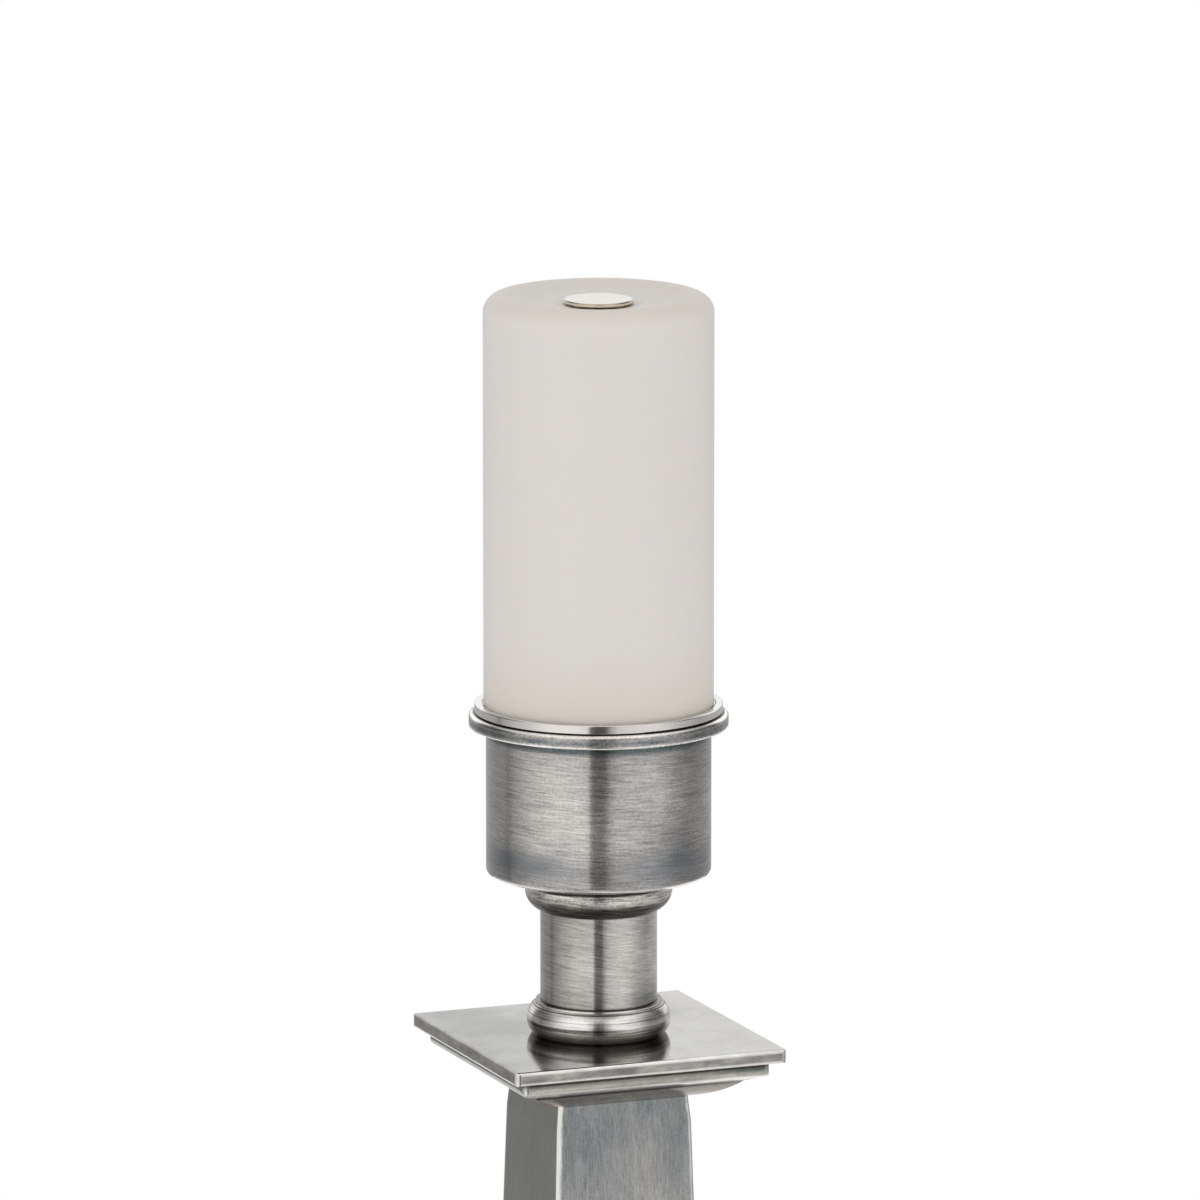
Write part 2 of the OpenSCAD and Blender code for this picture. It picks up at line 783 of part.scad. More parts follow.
// Can that holds the cells and drops into the cup
module battery_housing() {
    color(zinc) difference() {
        union() {
            translate([0, 0, can_cover_top_z]) ring(can_r, can_bore_r, rim_z - can_cover_top_z);
            translate([0, 0, can_rim_z]) ring(can_r, ring_bore_r, can_rim_t);
            intersection() {
                translate([0, 0, can_cover_top_z]) at_angles(can_post_at, can_post_angles)
                    cylinder(r = can_post_r, h = can_post_h);
                translate([0, 0, can_cover_top_z]) cylinder(r = can_bore_r + lap, h = can_post_h);
            }
        }
        translate([0, 0, can_z]) at_angles(can_post_at, can_post_angles)
            cylinder(r = small_screw_r + screw_gap, h = can_post_h);
        translate([0, 0, can_rim_z - over]) at_angles(unit_screw_at, can_post_angles)
            cylinder(r = small_screw_r + small_gap, h = can_rim_t + 2 * over);
    }
}

// Cover of the can, with the slot for the charging socket
module housing_cover() {
    color(soft_black) translate([0, 0, can_z]) difference() {
        cylinder(r = can_r, h = can_cover_t);
        at_angles(can_post_at, can_post_angles)
            countersunk(small_head_r, small_screw_r, can_post_h, screw_gap);
        rotate(port_angle) translate([port_at, 0, 0])
            cube([port_t + 2 * small_gap, port_w + 2 * small_gap, 2 * can_cover_t + over], center = true);
    }
}

// Three screws that hold the cover
module cover_screws() {
    color(zinc) translate([0, 0, can_z]) at_angles(can_post_at, can_post_angles) difference() {
        countersunk(small_head_r, small_screw_r, can_post_h - over);
        translate([0, 0, -over]) cylinder(r = small_key_r, h = over + small_key_t, $fn = 6);
    }
}

// Charging socket, mouth down, with its contact tongue
module charge_port() {
    color(zinc) translate([0, 0, can_z]) rotate(port_angle) translate([port_at, 0, 0]) {
        difference() {
            linear_extrude(port_h) port_outline(0);
            translate([0, 0, -over]) linear_extrude(port_h - port_back + over) port_outline(port_shell);
        }
        translate([-tongue_t / 2, tongue_in - port_w / 2, tongue_z])
            cube([tongue_t, port_w - 2 * tongue_in, port_h - port_back - tongue_z + lap]);
    }
}

// Outline of the charging socket, with round ends
module port_outline(inset) {
    r = port_t / 2 - inset;
    reach = port_w / 2 - port_t / 2;
    square([2 * r, 2 * reach], center = true);
    for (y = [-1, 1]) translate([0, y * reach]) circle(r);
}

// Carrier of the cells: a tray with a sleeve round the cells and a post between them
module cell_holder() {
    inner_r = holder_r - holder_wall;
    color(soft_black) translate([0, 0, can_cover_top_z]) {
        cylinder(r = holder_r, h = holder_floor);
        ring(holder_r, inner_r, board_z - can_cover_top_z);
        cylinder(r = holder_post_r, h = board_z - can_cover_top_z);
    }
}

// Four round cells, every other one upside down
module battery_cells() {
    color(sleeve_blue) for (i = [0:3]) rotate(45 + 90 * i) translate([cell_at, 0, cell_z])
        translate([0, 0, i % 2 * cell_h]) mirror([0, 0, i % 2]) {
            cylinder(r = cell_d / 2, h = cell_h - cell_button_h);
            cylinder(r = cell_button_r, h = cell_h);
        }
}

// Strips that join the cells in pairs, crosswise above and below
module cell_contacts() {
    pitch = cell_at * sqrt(2);
    length = pitch + 2 * strip_past;
    color(polished) for (s = [-1, 1]) {
        translate([-length / 2, s * pitch / 2 - strip_w / 2, strip_z]) cube([length, strip_w, strip_t]);
        translate([s * pitch / 2 - strip_w / 2, -length / 2, top_strip_z]) cube([strip_w, length, strip_t]);
    }
}

// Board that charges the cells and drives the light
module control_board() {
    color(board_green) translate([0, 0, board_z]) cylinder(r = board_r, h = board_t);
}

// Body of the push switch, bored for its plunger
module switch_body() {
    color(soft_black) translate([0, 0, switch_z]) difference() {
        translate([-switch_w / 2, -switch_w / 2, 0]) cube([switch_w, switch_w, switch_h]);
        translate([0, 0, plunger_z - switch_z - plunger_room])
            cylinder(r = plunger_r + push_gap, h = switch_h + over);
    }
}

// Heat plate that the light board lies on
module heat_spreader() {
    color(zinc) translate([0, 0, spreader_z]) difference() {
        ring(plate_r, tube_seat_r, plate_t);
        translate([0, 0, -over]) at_angles(unit_screw_at, can_post_angles)
            cylinder(r = small_screw_r + screw_gap, h = plate_t + 2 * over);
    }
}

// Three screws from inside the can, through the ring's floor, into the heat plate
module unit_screws() {
    color(zinc) translate([0, 0, can_rim_z]) at_angles(unit_screw_at, can_post_angles) {
        translate([0, 0, -small_head_h]) difference() {
            cylinder(r = small_head_r, h = small_head_h);
            translate([0, 0, -over]) cylinder(r = small_key_r, h = over + small_key_t, $fn = 6);
        }
        cylinder(r = small_screw_r, h = unit_screw_l);
    }
}

// Board that carries the light chips
module led_board() {
    color(board_white) translate([0, 0, spreader_top_z]) ring(led_board_r, led_board_hole_r, led_board_t);
}

// Light chips, evenly on a circle
module led_chips() {
    color(chip_yellow) translate([0, 0, led_top_z]) for (i = [0:led_count - 1]) rotate(i * 360 / led_count)
        translate([led_at - led_w / 2, -led_w / 2, 0]) cube([led_w, led_w, led_t]);
}

// Tube that ties the glass to the heat plate and guides the push rod
module guide_tube() {
    color(polished) translate([0, 0, spreader_z]) ring(tube_r, tube_bore_r, dish_z - spreader_z);
}

// Nut that locks the tube on the heat plate
module tube_nut() {
    color(zinc) translate([0, 0, spreader_top_z]) difference() {
        cylinder(r = tube_nut_r, h = tube_nut_h, $fn = 6);
        translate([0, 0, -over]) cylinder(r = tube_seat_r, h = tube_nut_h + 2 * over);
    }
}

// Soft ring under the glass
module glass_gasket() {
    color(soft_black) translate([0, 0, spreader_z])
        ring(glass_d / 2, glass_d / 2 - glass_wall, gasket_t);
}

// Outline of the glass, set in by inset: an upright side, a round shoulder, and a dished top that
// leaves the shoulder without a crease
module glass_half(inset, past) {
    round_r = shoulder_r - inset;
    crest = shoulder + round_r * crest_turn;
    difference() {
        union() {
            translate([0, -past]) square([glass_d / 2 - inset, shoulder.y + past]);
            polygon([[0, 0], [shoulder.x, 0], shoulder, crest, [0, crest.y]]);
            translate(shoulder) circle(round_r);
        }
        translate(dish_centre) circle(dish_r + inset);
    }
}

// Opal glass, blown in one piece, with a sunk seat in its top
module glass_shade() {
    color(opal) translate([0, 0, glass_foot_z]) rotate_extrude() difference() {
        glass_half(0, 0);
        glass_half(glass_wall, over);
        translate([0, glass_h - dish_depth - sink_depth]) square([sink_d / 2, glass_h]);
        square([tube_r + glass_hole_gap, glass_h]);
    }
}

// Soft washer in the glass's sunk seat
module top_washer() {
    color(soft_black) translate([0, 0, sink_z]) ring(sink_d / 2 - top_nut_gap, tube_seat_r, top_washer_t);
}

// Round nut that holds the glass down, under the disc
module top_nut() {
    color(polished) translate([0, 0, sink_z + top_washer_t])
        ring(sink_d / 2 - 2 * top_nut_gap, tube_seat_r, sink_depth - top_washer_t);
}

// Polished disc that is pressed, with the seat for its rod
module press_cap() {
    disc_r = disc_d / 2;
    color(polished) translate([0, 0, disc_z]) rotate_extrude() difference() {
        union() {
            square([disc_r - disc_ease, disc_t]);
            square([disc_r, disc_t - disc_ease]);
            translate([disc_r - disc_ease, disc_t - disc_ease]) circle(disc_ease);
        }
        translate([0, -over]) square([push_r + seat_gap, push_into_disc + over]);
    }
}

// Rod from the disc down to the switch
module push_rod() {
    color(polished) translate([0, 0, push_z]) cylinder(r = push_r, h = disc_z + push_into_disc - push_z);
}

// Plunger of the push switch
module switch_plunger() {
    color(plunger_red) translate([0, 0, plunger_z]) cylinder(r = plunger_r, h = push_z - plunger_z);
}

base_pad();
base_cover();
base_screws();
base_weight();
base_foot();
base_plinth();
base_moulding();
tie_washer();
tie_nut();
tie_rod();
column();
cap_moulding();
top_slab();
torus_collar();
neck_tube();
bead_collar();
cup();
cup_flange();
seat_ring();
cup_nut();
rim_ring();
battery_housing();
housing_cover();
cover_screws();
charge_port();
cell_holder();
battery_cells();
cell_contacts();
control_board();
switch_body();
heat_spreader();
unit_screws();
led_board();
led_chips();
guide_tube();
tube_nut();
glass_gasket();
glass_shade();
top_washer();
top_nut();
press_cap();
push_rod();
switch_plunger();
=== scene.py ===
# %% [markdown]
# # Dressing a cordless table lamp
#
# The lamp is a square metal column with an opal glass light on top. Its construction is already
# modelled to size, piece by piece, and arrives here as a fixed frame. What is left is what the eye
# reads: aged nickel that was brushed by hand, one polished ring, and glass that glows a little even
# when the light is off.
#
# Each step below says what the thing is on the real lamp, how it could be made, and why it is made
# this way.

# %% The frame
import math

import bpy
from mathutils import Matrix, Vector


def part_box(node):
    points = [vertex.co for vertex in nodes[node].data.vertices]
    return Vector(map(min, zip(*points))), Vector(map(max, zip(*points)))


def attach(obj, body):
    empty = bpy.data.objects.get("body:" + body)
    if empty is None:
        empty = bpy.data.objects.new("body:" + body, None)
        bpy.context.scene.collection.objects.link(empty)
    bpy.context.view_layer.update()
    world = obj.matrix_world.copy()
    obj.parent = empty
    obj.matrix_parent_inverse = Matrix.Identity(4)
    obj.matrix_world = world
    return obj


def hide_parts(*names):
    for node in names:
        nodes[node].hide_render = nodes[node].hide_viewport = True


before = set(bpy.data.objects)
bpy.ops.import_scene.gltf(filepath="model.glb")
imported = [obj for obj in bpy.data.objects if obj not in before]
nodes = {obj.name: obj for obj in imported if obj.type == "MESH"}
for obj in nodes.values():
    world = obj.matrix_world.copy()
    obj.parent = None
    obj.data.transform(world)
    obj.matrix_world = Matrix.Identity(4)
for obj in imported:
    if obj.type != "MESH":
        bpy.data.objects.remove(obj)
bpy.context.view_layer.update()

# %% [markdown]
# ## The camera
#
# The picture was taken with a long lens, from a little over three metres away and slightly above:
# the square plate shows almost no perspective, while its two near sides still tell left from right.
# The distance and the pitch follow from the ellipses of the round pieces and the corners of the
# plate, so they are given as lengths and angles. A hair of shift puts the axis where it stands in the
# picture.

# %% Camera
MM = 0.001
camera_turn = math.radians(-21.59)
camera_pitch = math.radians(10.9008)
camera_away = 3245.69 * MM
camera_above_plate = 749.57 * MM
sensor_width, focal_length = 36, 352.11
sideways_shift = 0.00114
farthest_seen = 50


def bottom_of(node):
    """The height of a node's lower end, in metres."""
    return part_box(node)[0].z


def top_of(node):
    """The height of a node's upper end, in metres."""
    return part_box(node)[1].z


bpy.ops.object.camera_add()
camera = bpy.context.object
camera.data.sensor_width = sensor_width
camera.data.lens = focal_length
camera.data.shift_x = sideways_shift
camera.data.clip_end = farthest_seen
camera.location = (
    camera_away * math.sin(camera_turn),
    -camera_away * math.cos(camera_turn),
    top_of("top_slab") + camera_above_plate,
)
camera.rotation_euler = (math.pi / 2 - camera_pitch, 0, camera_turn)
bpy.context.scene.camera = camera
bpy.context.scene.view_settings.view_transform = "Standard"
print("camera at", [round(c, 3) for c in camera.location])

# %% [markdown]
# ## Writing shaders as sums
#
# A finish is mostly arithmetic: so much tarnish where a noise is high, less of it near a rubbed
# edge. Nodes can say that, but a page of node calls hides the sum. The small class below wraps a
# socket, so that `1 - wear * 0.5` adds the Math nodes by itself. Every other node comes from one
# function, which takes the node's type, its settings and what goes into its sockets.


# %% A socket that can be added and multiplied
class Wire:
    """The output of a node. Sums with it add Math nodes to its tree."""

    def __init__(self, tree, socket):
        self.tree = tree
        self.socket = socket

    def math(self, operation, *terms, clamp=False):
        settings = {"operation": operation, "use_clamp": clamp}
        return add_node(self.tree, "ShaderNodeMath", settings, dict(enumerate(terms)))

    def __add__(self, other):
        return self.math("ADD", self, other)

    def __sub__(self, other):
        return self.math("SUBTRACT", self, other)

    def __rsub__(self, other):
        return self.math("SUBTRACT", other, self)

    def __mul__(self, other):
        return self.math("MULTIPLY", self, other)

    def __truediv__(self, other):
        return self.math("DIVIDE", self, other)

    __radd__ = __add__
    __rmul__ = __mul__

    def absolute(self):
        return self.math("ABSOLUTE", self)

    def turn_from(self, other):
        """The angle, in radians from -pi to pi, whose sine is this value and whose cosine is the other."""
        return self.math("ARCTAN2", self, other)

    def clamped(self):
        return self.math("ADD", self, 0, clamp=True)

    def most(self, other):
        return self.math("MAXIMUM", self, other)

    def least(self, other):
        return self.math("MINIMUM", self, other)

    def step(self, low, high):
        """A soft step from 0 to 1 as the value goes from low to high. Low may be the larger of the two."""
        inputs = {0: self, 1: low, 2: high, 3: 0, 4: 1}
        return add_node(self.tree, "ShaderNodeMapRange", {"interpolation_type": "SMOOTHSTEP"}, inputs)

    def output(self, name):
        return Wire(self.tree, self.socket.node.outputs[name])


# %% Adding any node
def add_node(tree, kind, settings, inputs):
    """Adds a node, makes its settings, fills its sockets, and returns its first shown output."""
    node = tree.nodes.new(kind)
    for name, value in settings.items():
        if name == "stops":
            set_stops(node.color_ramp, value)
        else:
            setattr(node, name, value)
    for name, value in inputs.items():
        if isinstance(value, Wire):
            tree.links.new(value.socket, node.inputs[name])
        else:
            node.inputs[name].default_value = value
    shown = [out for out in node.outputs if out.enabled]
    return Wire(tree, shown[0]) if shown else None


def set_stops(ramp, stops):
    """Gives a colour ramp its stops, a list of positions and grey levels."""
    for element in list(ramp.elements)[1:]:
        ramp.elements.remove(element)
    for i, (position, level) in enumerate(stops):
        element = ramp.elements[0] if i == 0 else ramp.elements.new(position)
        element.position = position
        element.color = (level, level, level, 1)


# %% [markdown]
# ## The studio
#
# Metal has hardly any colour of its own: it shows the room. In the picture every round piece has a
# dark upright band in its middle, bright cheeks on both sides, and darker edges. That is a dark gap
# where the camera stands, and a tall white screen on each side of it that fades as it wraps round
# the lamp. Two area lamps could do this, but their edges would be hard and they would stand in the
# way when the lamp is seen from behind. The room is drawn in the world instead: its brightness
# depends on the direction, in degrees round the lamp from the camera's side, right being positive.

# %% The screens round the lamp
screens = [
    (-180, 0.50),
    (-139, 0.46),
    (-113, 0.42),
    (-106, 0.26),
    (-101, 0.40),
    (-92, 0.50),
    (-80, 0.63),
    (-70, 0.73),
    (-60, 0.82),
    (-50, 0.93),
    (-41, 0.97),
    (-24, 0.97),
    (-10.5, 0.88),
    (-7.5, 0.20),
    (-3, 0.10),
    (4, 0.10),
    (7.5, 0.16),
    (10.5, 0.40),
    (18, 0.70),
    (27, 0.81),
    (48, 0.88),
    (62, 0.79),
    (73, 0.66),
    (84, 0.55),
    (95, 0.48),
    (108, 0.40),
    (124, 0.46),
    (180, 0.52),
]
brightest = max(level for degrees, level in screens)
print("screens:", len(screens), "stops, the brightest", brightest)

# %% [markdown]
# The world's nodes know a direction only as a vector. It is split into three numbers that suit the
# studio: `facing` is 1 toward the camera's side and -1 away from it, `rightward` is 1 to the camera's
# right, and `up` is 1 straight up. The first two give the angle round the lamp, and a colour ramp
# turns that into the brightness of the screens.

# %% Directions in the world
world = bpy.data.worlds.new("studio")
bpy.context.scene.world = world
world.use_nodes = True
tree = world.node_tree
tree.nodes.clear()

direction = add_node(tree, "ShaderNodeTexCoord", {}, {}).output("Generated")
split = add_node(tree, "ShaderNodeSeparateXYZ", {}, {0: direction})
east, north, up = split, split.output("Y"), split.output("Z")
facing = east * math.sin(camera_turn) - north * math.cos(camera_turn)
rightward = east * math.cos(camera_turn) + north * math.sin(camera_turn)
round_share = rightward.turn_from(facing) / (2 * math.pi) + 0.5
stops = [(degrees / 360 + 0.5, level / brightest) for degrees, level in screens]
wall = add_node(tree, "ShaderNodeValToRGB", {"stops": stops}, {0: round_share}) * brightest
print("world:", len(tree.nodes), "nodes for the screens")

# %% [markdown]
# The lamp's upright sides send the view from above on downwards, and the plate sends it on upwards.
# So the back of the room can be dim below the horizon, for the edges of the cup, and white above it,
# for the plate. The screens are low where they wrap round the lamp: a polished wall sees them in
# full, but brushed metal, which also looks over and under them, is darker there.
#
# Each range below is a pair: where the change starts, and where it is complete.

# %% The room
back_wall, sky, ground = 1.05, 1.0, 0.75
dark_past_screens = 0.75
middle_of_screens = -0.19
past_their_ends = (0.08, 0.34)
wrapped_round = (0.45, -0.10)
far_back, over_horizon = (-0.60, -0.85), (-0.05, 0.12)
high_up, deep_down = (0.5, 0.9), (-0.45, -0.75)

past_screens = (up - middle_of_screens).absolute().step(*past_their_ends) * facing.step(*wrapped_round)
wall = wall * (1 - past_screens * dark_past_screens)
behind = facing.step(*far_back) * up.step(*over_horizon)
wall = wall * (1 - behind) + behind * back_wall
overhead = up.step(*high_up)
below = up.step(*deep_down)
room = wall * (1 - overhead) + overhead * sky
room = room * (1 - below) + below * ground
print("world:", len(tree.nodes), "nodes with the room")

# %% [markdown]
# The camera itself sees plain white. Matt pieces get an even light, a little stronger from the front
# and a touch from the left. Only mirrors, and what is seen through glass, meet the room.

# %% What each ray meets
even_light, front_gain, left_gain = 0.93, 0.21, 0.03
white = (1, 1, 1, 1)

path = add_node(tree, "ShaderNodeLightPath", {}, {})
mirror_ray = path.output("Is Glossy Ray").most(path.output("Is Transmission Ray"))
matt = even_light + front_gain * facing - left_gain * rightward
seen = add_node(tree, "ShaderNodeBackground", {}, {"Color": white, "Strength": 1})
even = add_node(tree, "ShaderNodeBackground", {}, {"Color": white, "Strength": matt})
mirrored = add_node(tree, "ShaderNodeBackground", {}, {"Color": white, "Strength": room})
lit = add_node(tree, "ShaderNodeMixShader", {}, {0: mirror_ray, 1: even, 2: mirrored})
shown = add_node(tree, "ShaderNodeMixShader", {}, {0: path.output("Is Camera Ray"), 1: lit, 2: seen})
add_node(tree, "ShaderNodeOutputWorld", {}, {"Surface": shown})
print("world:", len(tree.nodes), "nodes in all")

# %% [markdown]
# ## The floor
#
# The lamp stands on a pale table top. Only the shadow round the foot matters, so the floor is one
# round sheet that turns into the white of the background before its rim is reached: near the foot
# it is a matt surface, and further out it is white for the camera and for mirrors.

# %% Floor
floor_radius, floor_points = 0.9, 128
floor_near, floor_far = 0.12, 0.55
floor_grey = (0.93, 0.93, 0.93, 1)

bpy.ops.object.select_all(action="DESELECT")
bpy.ops.mesh.primitive_circle_add(vertices=floor_points, radius=floor_radius, fill_type="NGON")
floor = bpy.context.object
floor.name = "floor"
floor_finish = bpy.data.materials.new("floor_white")
floor_finish.use_nodes = True
tree = floor_finish.node_tree
tree.nodes.clear()
spot = add_node(tree, "ShaderNodeTexCoord", {}, {}).output("Object")
away = add_node(tree, "ShaderNodeVectorMath", {"operation": "LENGTH"}, {0: spot}).output("Value")
path = add_node(tree, "ShaderNodeLightPath", {}, {})
straight = path.output("Is Camera Ray").most(path.output("Is Glossy Ray"))
straight = straight.most(path.output("Is Transmission Ray"))
white_share = straight * away.step(floor_near, floor_far)
matt_floor = add_node(tree, "ShaderNodeBsdfDiffuse", {}, {"Color": floor_grey})
white_floor = add_node(tree, "ShaderNodeEmission", {}, {"Color": white, "Strength": 1})
floor_mix = add_node(tree, "ShaderNodeMixShader", {}, {0: white_share, 1: matt_floor, 2: white_floor})
add_node(tree, "ShaderNodeOutputMaterial", {}, {"Surface": floor_mix})
floor.data.materials.append(floor_finish)
print("floor radius:", floor_radius)

# %% [markdown]
# ## A finish and its helpers
#
# Every finish below starts the same way: one principled shader, the point on the piece in Object
# coordinates, which are the lamp's own metres, and how far the surface there faces up. `Finish`
# keeps these, and has short ways to a noise, a colour blend and a bump. `across` is the distance to
# the right for someone who stands at the lamp's front left, as the photographer did. Numbers that
# are the same all over go straight onto the shader's sockets.
#
# A noise is called by its grain: how many patches there are per metre along X, Y and Z. A large number
# makes short patches and a small one long ones, so (9, 9, 1400) is lines that run level. Two noises
# of one finish get different shifts, or they would lie on top of each other.


# %% Finish
class Finish:
    """A material with one principled shader, and helpers that work in the lamp's own coordinates."""

    def __init__(self, name, **constants):
        self.material = bpy.data.materials.new(name)
        self.material.use_nodes = True
        self.tree = self.material.node_tree
        self.shader = self.tree.nodes["Principled BSDF"]
        self.set(**constants)
        self.place = self.add("ShaderNodeTexCoord").output("Object")
        split = self.add("ShaderNodeSeparateXYZ", {}, {0: self.place})
        self.x, self.y, self.z = split, split.output("Y"), split.output("Z")
        self.across = self.x * math.cos(camera_turn) + self.y * math.sin(camera_turn)
        geometry = self.add("ShaderNodeNewGeometry")
        normal = self.add("ShaderNodeSeparateXYZ", {}, {0: geometry.output("Normal")})
        self.faces_x, self.faces_up = normal, normal.output("Z")

    def add(self, kind, settings=None, inputs=None):
        return add_node(self.tree, kind, settings or {}, inputs or {})

    def set(self, **values):
        """Gives the shader's sockets, written with _ for a space, a value or a wire."""
        for socket, value in values.items():
            target = self.shader.inputs[socket.replace("_", " ")]
            if isinstance(value, Wire):
                self.tree.links.new(value.socket, target)
            else:
                target.default_value = value
        return self

    def noise(self, grain, detail=2.0, roughness=0.5, shift=(0, 0, 0), place=None):
        """A noise round 0, mostly from -0.2 to 0.2, whose grains are so many per metre on x, y, z."""
        inputs = {0: place or self.place, 1: grain, 2: shift}
        grown = self.add("ShaderNodeVectorMath", {"operation": "MULTIPLY_ADD"}, inputs)
        inputs = {"Vector": grown, "Scale": 1, "Detail": detail, "Roughness": roughness}
        return self.add("ShaderNodeTexNoise", {"noise_dimensions": "3D"}, inputs) - 0.5

    def blend(self, share, first, second):
        """The colour first, going over to second as share goes from 0 to 1."""
        node = self.tree.nodes.new("ShaderNodeMix")
        node.data_type = "RGBA"
        # the Mix node has sockets of every kind: these inputs and this output are its share and colours
        for index, value in ((0, share), (6, first), (7, second)):
            if isinstance(value, Wire):
                self.tree.links.new(value.socket, node.inputs[index])
            else:
                node.inputs[index].default_value = value
        return Wire(self.tree, node.outputs[2])

    def nowhere(self):
        """A share that is 0 all over the piece."""
        return self.z * 0

    def tint(self, colour, amount):
        """The colour made darker or lighter by a number, 1 leaving it as it is."""
        vector = colour if isinstance(colour, Wire) else colour[:3]
        return self.add("ShaderNodeVectorMath", {"operation": "SCALE"}, {0: vector, "Scale": amount})

    def bump(self, height, depth, strength):
        """Raises the surface by height, from 0 to 1, times depth in metres."""
        inputs = {"Height": height, "Distance": depth, "Strength": strength}
        return self.set(Normal=self.add("ShaderNodeBump", {}, inputs))


# %% Helpers for all finishes
def metal(level, red=1.045, blue=0.950):
    """The colour of nickel of that linear level, a little warm, with its red and blue as shares of green."""
    return (level * red, level, level * blue, 1)


def near(value, centre, reach):
    """A share that is 1 where the value is at the centre and 0 past reach to either side of it."""
    return (value - centre).absolute().step(reach, 0)


def wear(finish, *names):
    """Puts the finish on the nodes named, in place of the plain one that they came with."""
    for name in names:
        materials = nodes[name].data.materials
        materials.clear()
        materials.append(finish.material)
    print(f"{finish.material.name}: {len(finish.tree.nodes)} nodes, on {', '.join(names)}")


# %% [markdown]
# ## Aged nickel
#
# All the metal of the stand has had one treatment: nickel plate, darkened with acid, and rubbed back
# by hand. Four things come of it, and the colour is built up from them in this order.
#
# - The strokes of the brush, light and dark, with cloudy stretches where the hand was lighter.
# - A film of tarnish, bluish, greenish or smoky, where the rubbing hardly reached.
# - Brown-black in creases, where the rubbing didn't reach at all, and the same colour painted as shade in
#   seams and under ledges.
# - Bare bright metal on proud edges, which a cloth always catches.
#
# Film and crease make the metal duller, and bare metal is smoother than the rest.

# %% Aged nickel
film_colour = (0.168, 0.188, 0.206, 1)
# Teal is patina with painted shade, under the cup's flange.
teal_patina_and_shade_colour = (0.085, 0.110, 0.112, 1)
dark_teal_colour = (0.095, 0.128, 0.120, 1)
green_colour = (0.165, 0.180, 0.165, 1)
# Smoke is painted brown shade, laid in the swells of the mouldings.
smoke_shade_colour = (0.290, 0.252, 0.212, 1)
# The crease colour is brown-black patina in creases, and also painted shade in seams and under ledges.
crease_and_shade_colour = (0.050, 0.042, 0.036, 1)
bare_colour = (0.93, 0.905, 0.865, 1)
darkest_stroke = 0.25
stroke_dulls, film_dulls, crease_dulls = 0.08, 0.06, 0.12
bare_hides_strokes, bare_smooths = 0.6, 0.35
stroke_depth, stroke_strength = 0.012 * MM, 0.5


def age(finish, colour, strokes, film, crease_and_shade, bare, rough=0.27, depth=stroke_depth, film_is=film_colour):
    """Lays film, crease and painted shade, and bare, shares from 0 to 1, over the colour, and strokes over
    them all.
    """
    film, crease_and_shade, bare = film.clamped(), crease_and_shade.clamped(), bare.clamped()
    strokes = strokes * (1 - bare * bare_hides_strokes)
    filmed = finish.blend(film, colour, film_is)
    creased = finish.blend(crease_and_shade, filmed, crease_and_shade_colour)
    bared = finish.blend(bare, creased, bare_colour)
    dulled = rough + strokes * stroke_dulls + film * film_dulls + crease_and_shade * crease_dulls
    finish.set(Base_Color=finish.tint(bared, (1 + strokes).most(darkest_stroke)))
    finish.set(Roughness=dulled * (1 - bare * bare_smooths))
    return finish.bump(strokes, depth, stroke_strength)


# The crease and smoke colours printed here are also painted shade.
print("colours that time gave the nickel:", film_colour, smoke_shade_colour, crease_and_shade_colour, bare_colour)

# %% [markdown]
# ## The turned pieces
#
# The cup, the neck and the collars were brushed on a lathe, so the strokes run round them. That does
# two things. It blurs a reflection up and down but hardly sideways, which is what the shader's
# anisotropy is for: by itself its tangent runs round the Z axis, and a quarter turn makes the long
# side of the blur upright. And it shows as strokes: noises that are long round the piece and short
# in height. Two of them are laid askew, because a cloth in the hand never runs quite level, and a
# fine even grain is added, as the acid leaves it.


# %% Turned nickel
def turned(name):
    """A finish whose reflections are blurred upright, as round brushing does."""
    return Finish(name, Metallic=1.0, Anisotropic=0.98, Anisotropic_Rotation=0.25)


def round_strokes(finish, level=1.0, leaning=1.0, grain=1.0, slope=0.13):
    """Strokes round the Z axis, light above 0 and dark below it. Slope is how far the askew ones drop."""
    askew = {0: finish.x, 1: finish.y, 2: finish.z + finish.x * slope}
    askew = finish.add("ShaderNodeCombineXYZ", {}, askew)
    hair = finish.noise((130, 130, 2600), 1.5, 0.6)
    line = finish.noise((60, 60, 1500), 2.0, 0.65, (5, 9, 2))
    scratch = finish.noise((110, 110, 2300), 2.0, 0.6, (3, 1, 7), askew)
    sweep = finish.noise((45, 45, 420), 2.0, 0.55, (8, 5, 2), askew)
    speck = finish.noise((1400, 1400, 1600), 1.0, 0.5, (2, 2, 4))
    level_ones = (hair * 1.05 + line * 0.38) * level
    askew_ones = (scratch * 0.85 + sweep * 0.36) * leaning
    return level_ones + askew_ones + speck * 0.65 * grain
